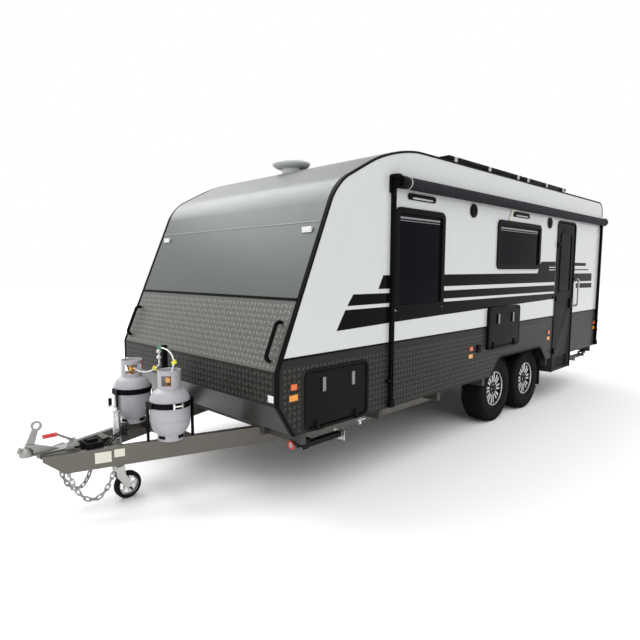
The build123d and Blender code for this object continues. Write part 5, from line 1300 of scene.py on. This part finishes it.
class CARAVAN_OT_wheels(bpy.types.Operator):
    """Road tyres and spoked wheels"""

    bl_idname = "caravan.wheels"
    bl_label = "Wheels"

    def execute(self, context):
        for end in ("front", "rear"):
            for side, sign in (("left", 1), ("right", -1)):
                self.tyre(f"tyre_{end}_{side}")
                self.rim(f"rim_{end}_{side}", sign)
        return {"FINISHED"}

    def tyre(self, node):
        """A rounded carcass with two staggered rows of lugs, shoulder lugs and ribs down the sidewalls."""
        low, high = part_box(node)
        centre = (low + high) / 2
        radius = (high.z - low.z) / 2
        half = (high.y - low.y) / 2
        count = sizes().lugs
        bm = bmesh.new()
        side = ((0.213, 0.110), (0.222, 0.122), (0.250, 0.130), (0.262, 0.1325), (0.268, 0.130),
                (0.310, 0.1318), (0.346, 0.128), (0.368, 0.120), (0.383, 0.106), (0.3885, 0.088),
                (0.390, 0.045))
        profile = [(r, -y) for r, y in side] + [(0.390, 0.0)] + [(r, y) for r, y in reversed(side)]
        add_turned(bm, profile, centre, (0, 1, 0), 72)
        step = math.tau / count
        turn = Matrix.Rotation(math.radians(14), 4, "Z")
        back = turn.inverted()
        lug_tall = 0.018
        for y, width, length, top, phase, skew in (
            (0.034, 0.046, 0.037, 0.001, 0.0, turn), (-0.034, 0.046, 0.037, 0.001, 0.5, back),
            (0.090, 0.040, 0.034, 0.004, 0.25, back), (-0.090, 0.040, 0.034, 0.004, 0.75, turn),
        ):
            before = set(bm.faces)
            points = add_block(bm, (0, y, radius - top - lug_tall / 2), (length, width, lug_tall), skew)
            around = Matrix.Translation(centre) @ Matrix.Rotation(phase * step, 4, "Y")
            bmesh.ops.transform(bm, matrix=around, verts=points)
            spin_copies(bm, fresh(bm, before), centre, (0, 1, 0), count)
        for sign in (1, -1):
            before = set(bm.faces)
            lean = Matrix.Rotation(sign * math.radians(28), 4, "X")
            middle = (0, sign * (half - 0.0085), radius - 0.034)
            points = add_block(bm, middle, (0.026, 0.010, 0.030), lean)
            bmesh.ops.transform(bm, matrix=Matrix.Translation(centre), verts=points)
            spin_copies(bm, fresh(bm, before), centre, (0, 1, 0), count)
        black = rubber("tyre_rubber", colours().rubber)
        piece = new_piece(f"{node}_tread", bm, BODY_OF[node], black)
        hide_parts(node)

    def rim(self, node, sign):
        """A black barrel with a machined lip, paired spokes with machined faces, nuts and a cap."""
        low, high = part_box(node)
        centre = (low + high) / 2
        out = (0, sign, 0)
        body, slot = BODY_OF[node], SLOT_OF[node]
        black = paint("rim_black", (0.006, 0.006, 0.006), 0.3, 200, 0.01, specular_ior_level=0.08)
        machined = metal("machined_alloy", colours().alloy, 0.24, 90, 0.01)
        well = ((0.2115, 0.104), (0.2115, -0.112), (0.200, -0.112), (0.190, -0.06), (0.186, 0.03),
                (0.190, 0.096), (0.196, 0.100))
        hub = ((0.080, 0.01), (0.080, 0.092), (0.074, 0.097), (0.042, 0.098), (0.036, 0.104),
               (0.029, 0.107), (0, 0.109))
        bm = bmesh.new()
        add_turned(bm, well, centre, out, 64, ring=True)
        add_turned(bm, ((0, 0.0), (0.187, 0.0), (0.187, 0.012), (0, 0.012)), centre, out, 48)
        add_turned(bm, hub, centre, out, 40)
        barrel = new_piece(f"{node}_barrel", bm, body, black)
        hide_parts(node)

        lip = ((0.1935, 0.0985), (0.197, 0.1115), (0.205, 0.1125), (0.2117, 0.108), (0.2117, 0.103))
        spoke_back, spoke_deep, lip_inside = 0.040, 0.050, 0.192
        bm = bmesh.new()
        add_turned(bm, lip, centre, out, 64, ring=True)
        before = set(bm.faces)
        for way in (1, -1):
            corners = ((0.060, 0.003), (0.196, 0.012), (0.196, 0.047), (0.066, 0.025))
            points = [centre + Vector((way * across, sign * spoke_back, along)) for along, across in corners]
            add_prism(bm, points, (0, sign * spoke_deep, 0))
        spin_copies(bm, fresh(bm, before), centre, (0, 1, 0), sizes().spokes)
        for face in bm.faces:
            middle = face.calc_center_bounds() - centre
            inside = math.hypot(middle.x, middle.z) < lip_inside
            face.material_index = int(inside and face.normal.y * sign < 0.5)
        new_piece(f"{node}_spokes", bm, body, [machined, black], bevel=0.002)

        nut_circle, nut_radius, nuts = 0.058, 0.0085, 6
        bm = bmesh.new()
        start, end = (centre + Vector((nut_circle, sign * along, 0)) for along in (0.094, 0.106))
        spin_copies(bm, add_rod(bm, start, end, nut_radius, 6), centre, (0, 1, 0), nuts)
        new_piece(f"{node}_nuts", bm, body, chrome())


OPERATORS = (
    CARAVAN_OT_stage, CARAVAN_OT_cords, CARAVAN_OT_panels, CARAVAN_OT_trims, CARAVAN_OT_lozenges,
    CARAVAN_OT_stripes, CARAVAN_OT_openings, CARAVAN_OT_fittings, CARAVAN_OT_lamps, CARAVAN_OT_underneath,
    CARAVAN_OT_drawbar, CARAVAN_OT_wheels,
)
GROUPS = (
    ("caravan_colours", CaravanColours),
    ("caravan_sizes", CaravanSizes),
    ("caravan_stage", CaravanStage),
)


class CARAVAN_PT_sidebar(bpy.types.Panel):
    """The caravan's operators, colours and sizes"""

    bl_idname = "CARAVAN_PT_sidebar"
    bl_label = "Caravan"
    bl_space_type = "VIEW_3D"
    bl_region_type = "UI"
    bl_category = "Caravan"

    def draw(self, context):
        for name, group in GROUPS:
            for field in group.__annotations__:
                self.layout.prop(getattr(context.scene, name), field)
        for operator in OPERATORS:
            self.layout.operator(operator.bl_idname)


def register():
    for name, group in GROUPS:
        bpy.utils.register_class(group)
        setattr(bpy.types.Scene, name, PointerProperty(type=group))
    for operator in OPERATORS:
        bpy.utils.register_class(operator)
    bpy.utils.register_class(CARAVAN_PT_sidebar)


def unregister():
    bpy.utils.unregister_class(CARAVAN_PT_sidebar)
    for operator in reversed(OPERATORS):
        bpy.utils.unregister_class(operator)
    for name, group in reversed(GROUPS):
        delattr(bpy.types.Scene, name)
        bpy.utils.unregister_class(group)


def main():
    register()
    for operator in OPERATORS:
        family, name = operator.bl_idname.split(".")
        getattr(getattr(bpy.ops, family), name)()


if __name__ == "__main__":
    main()
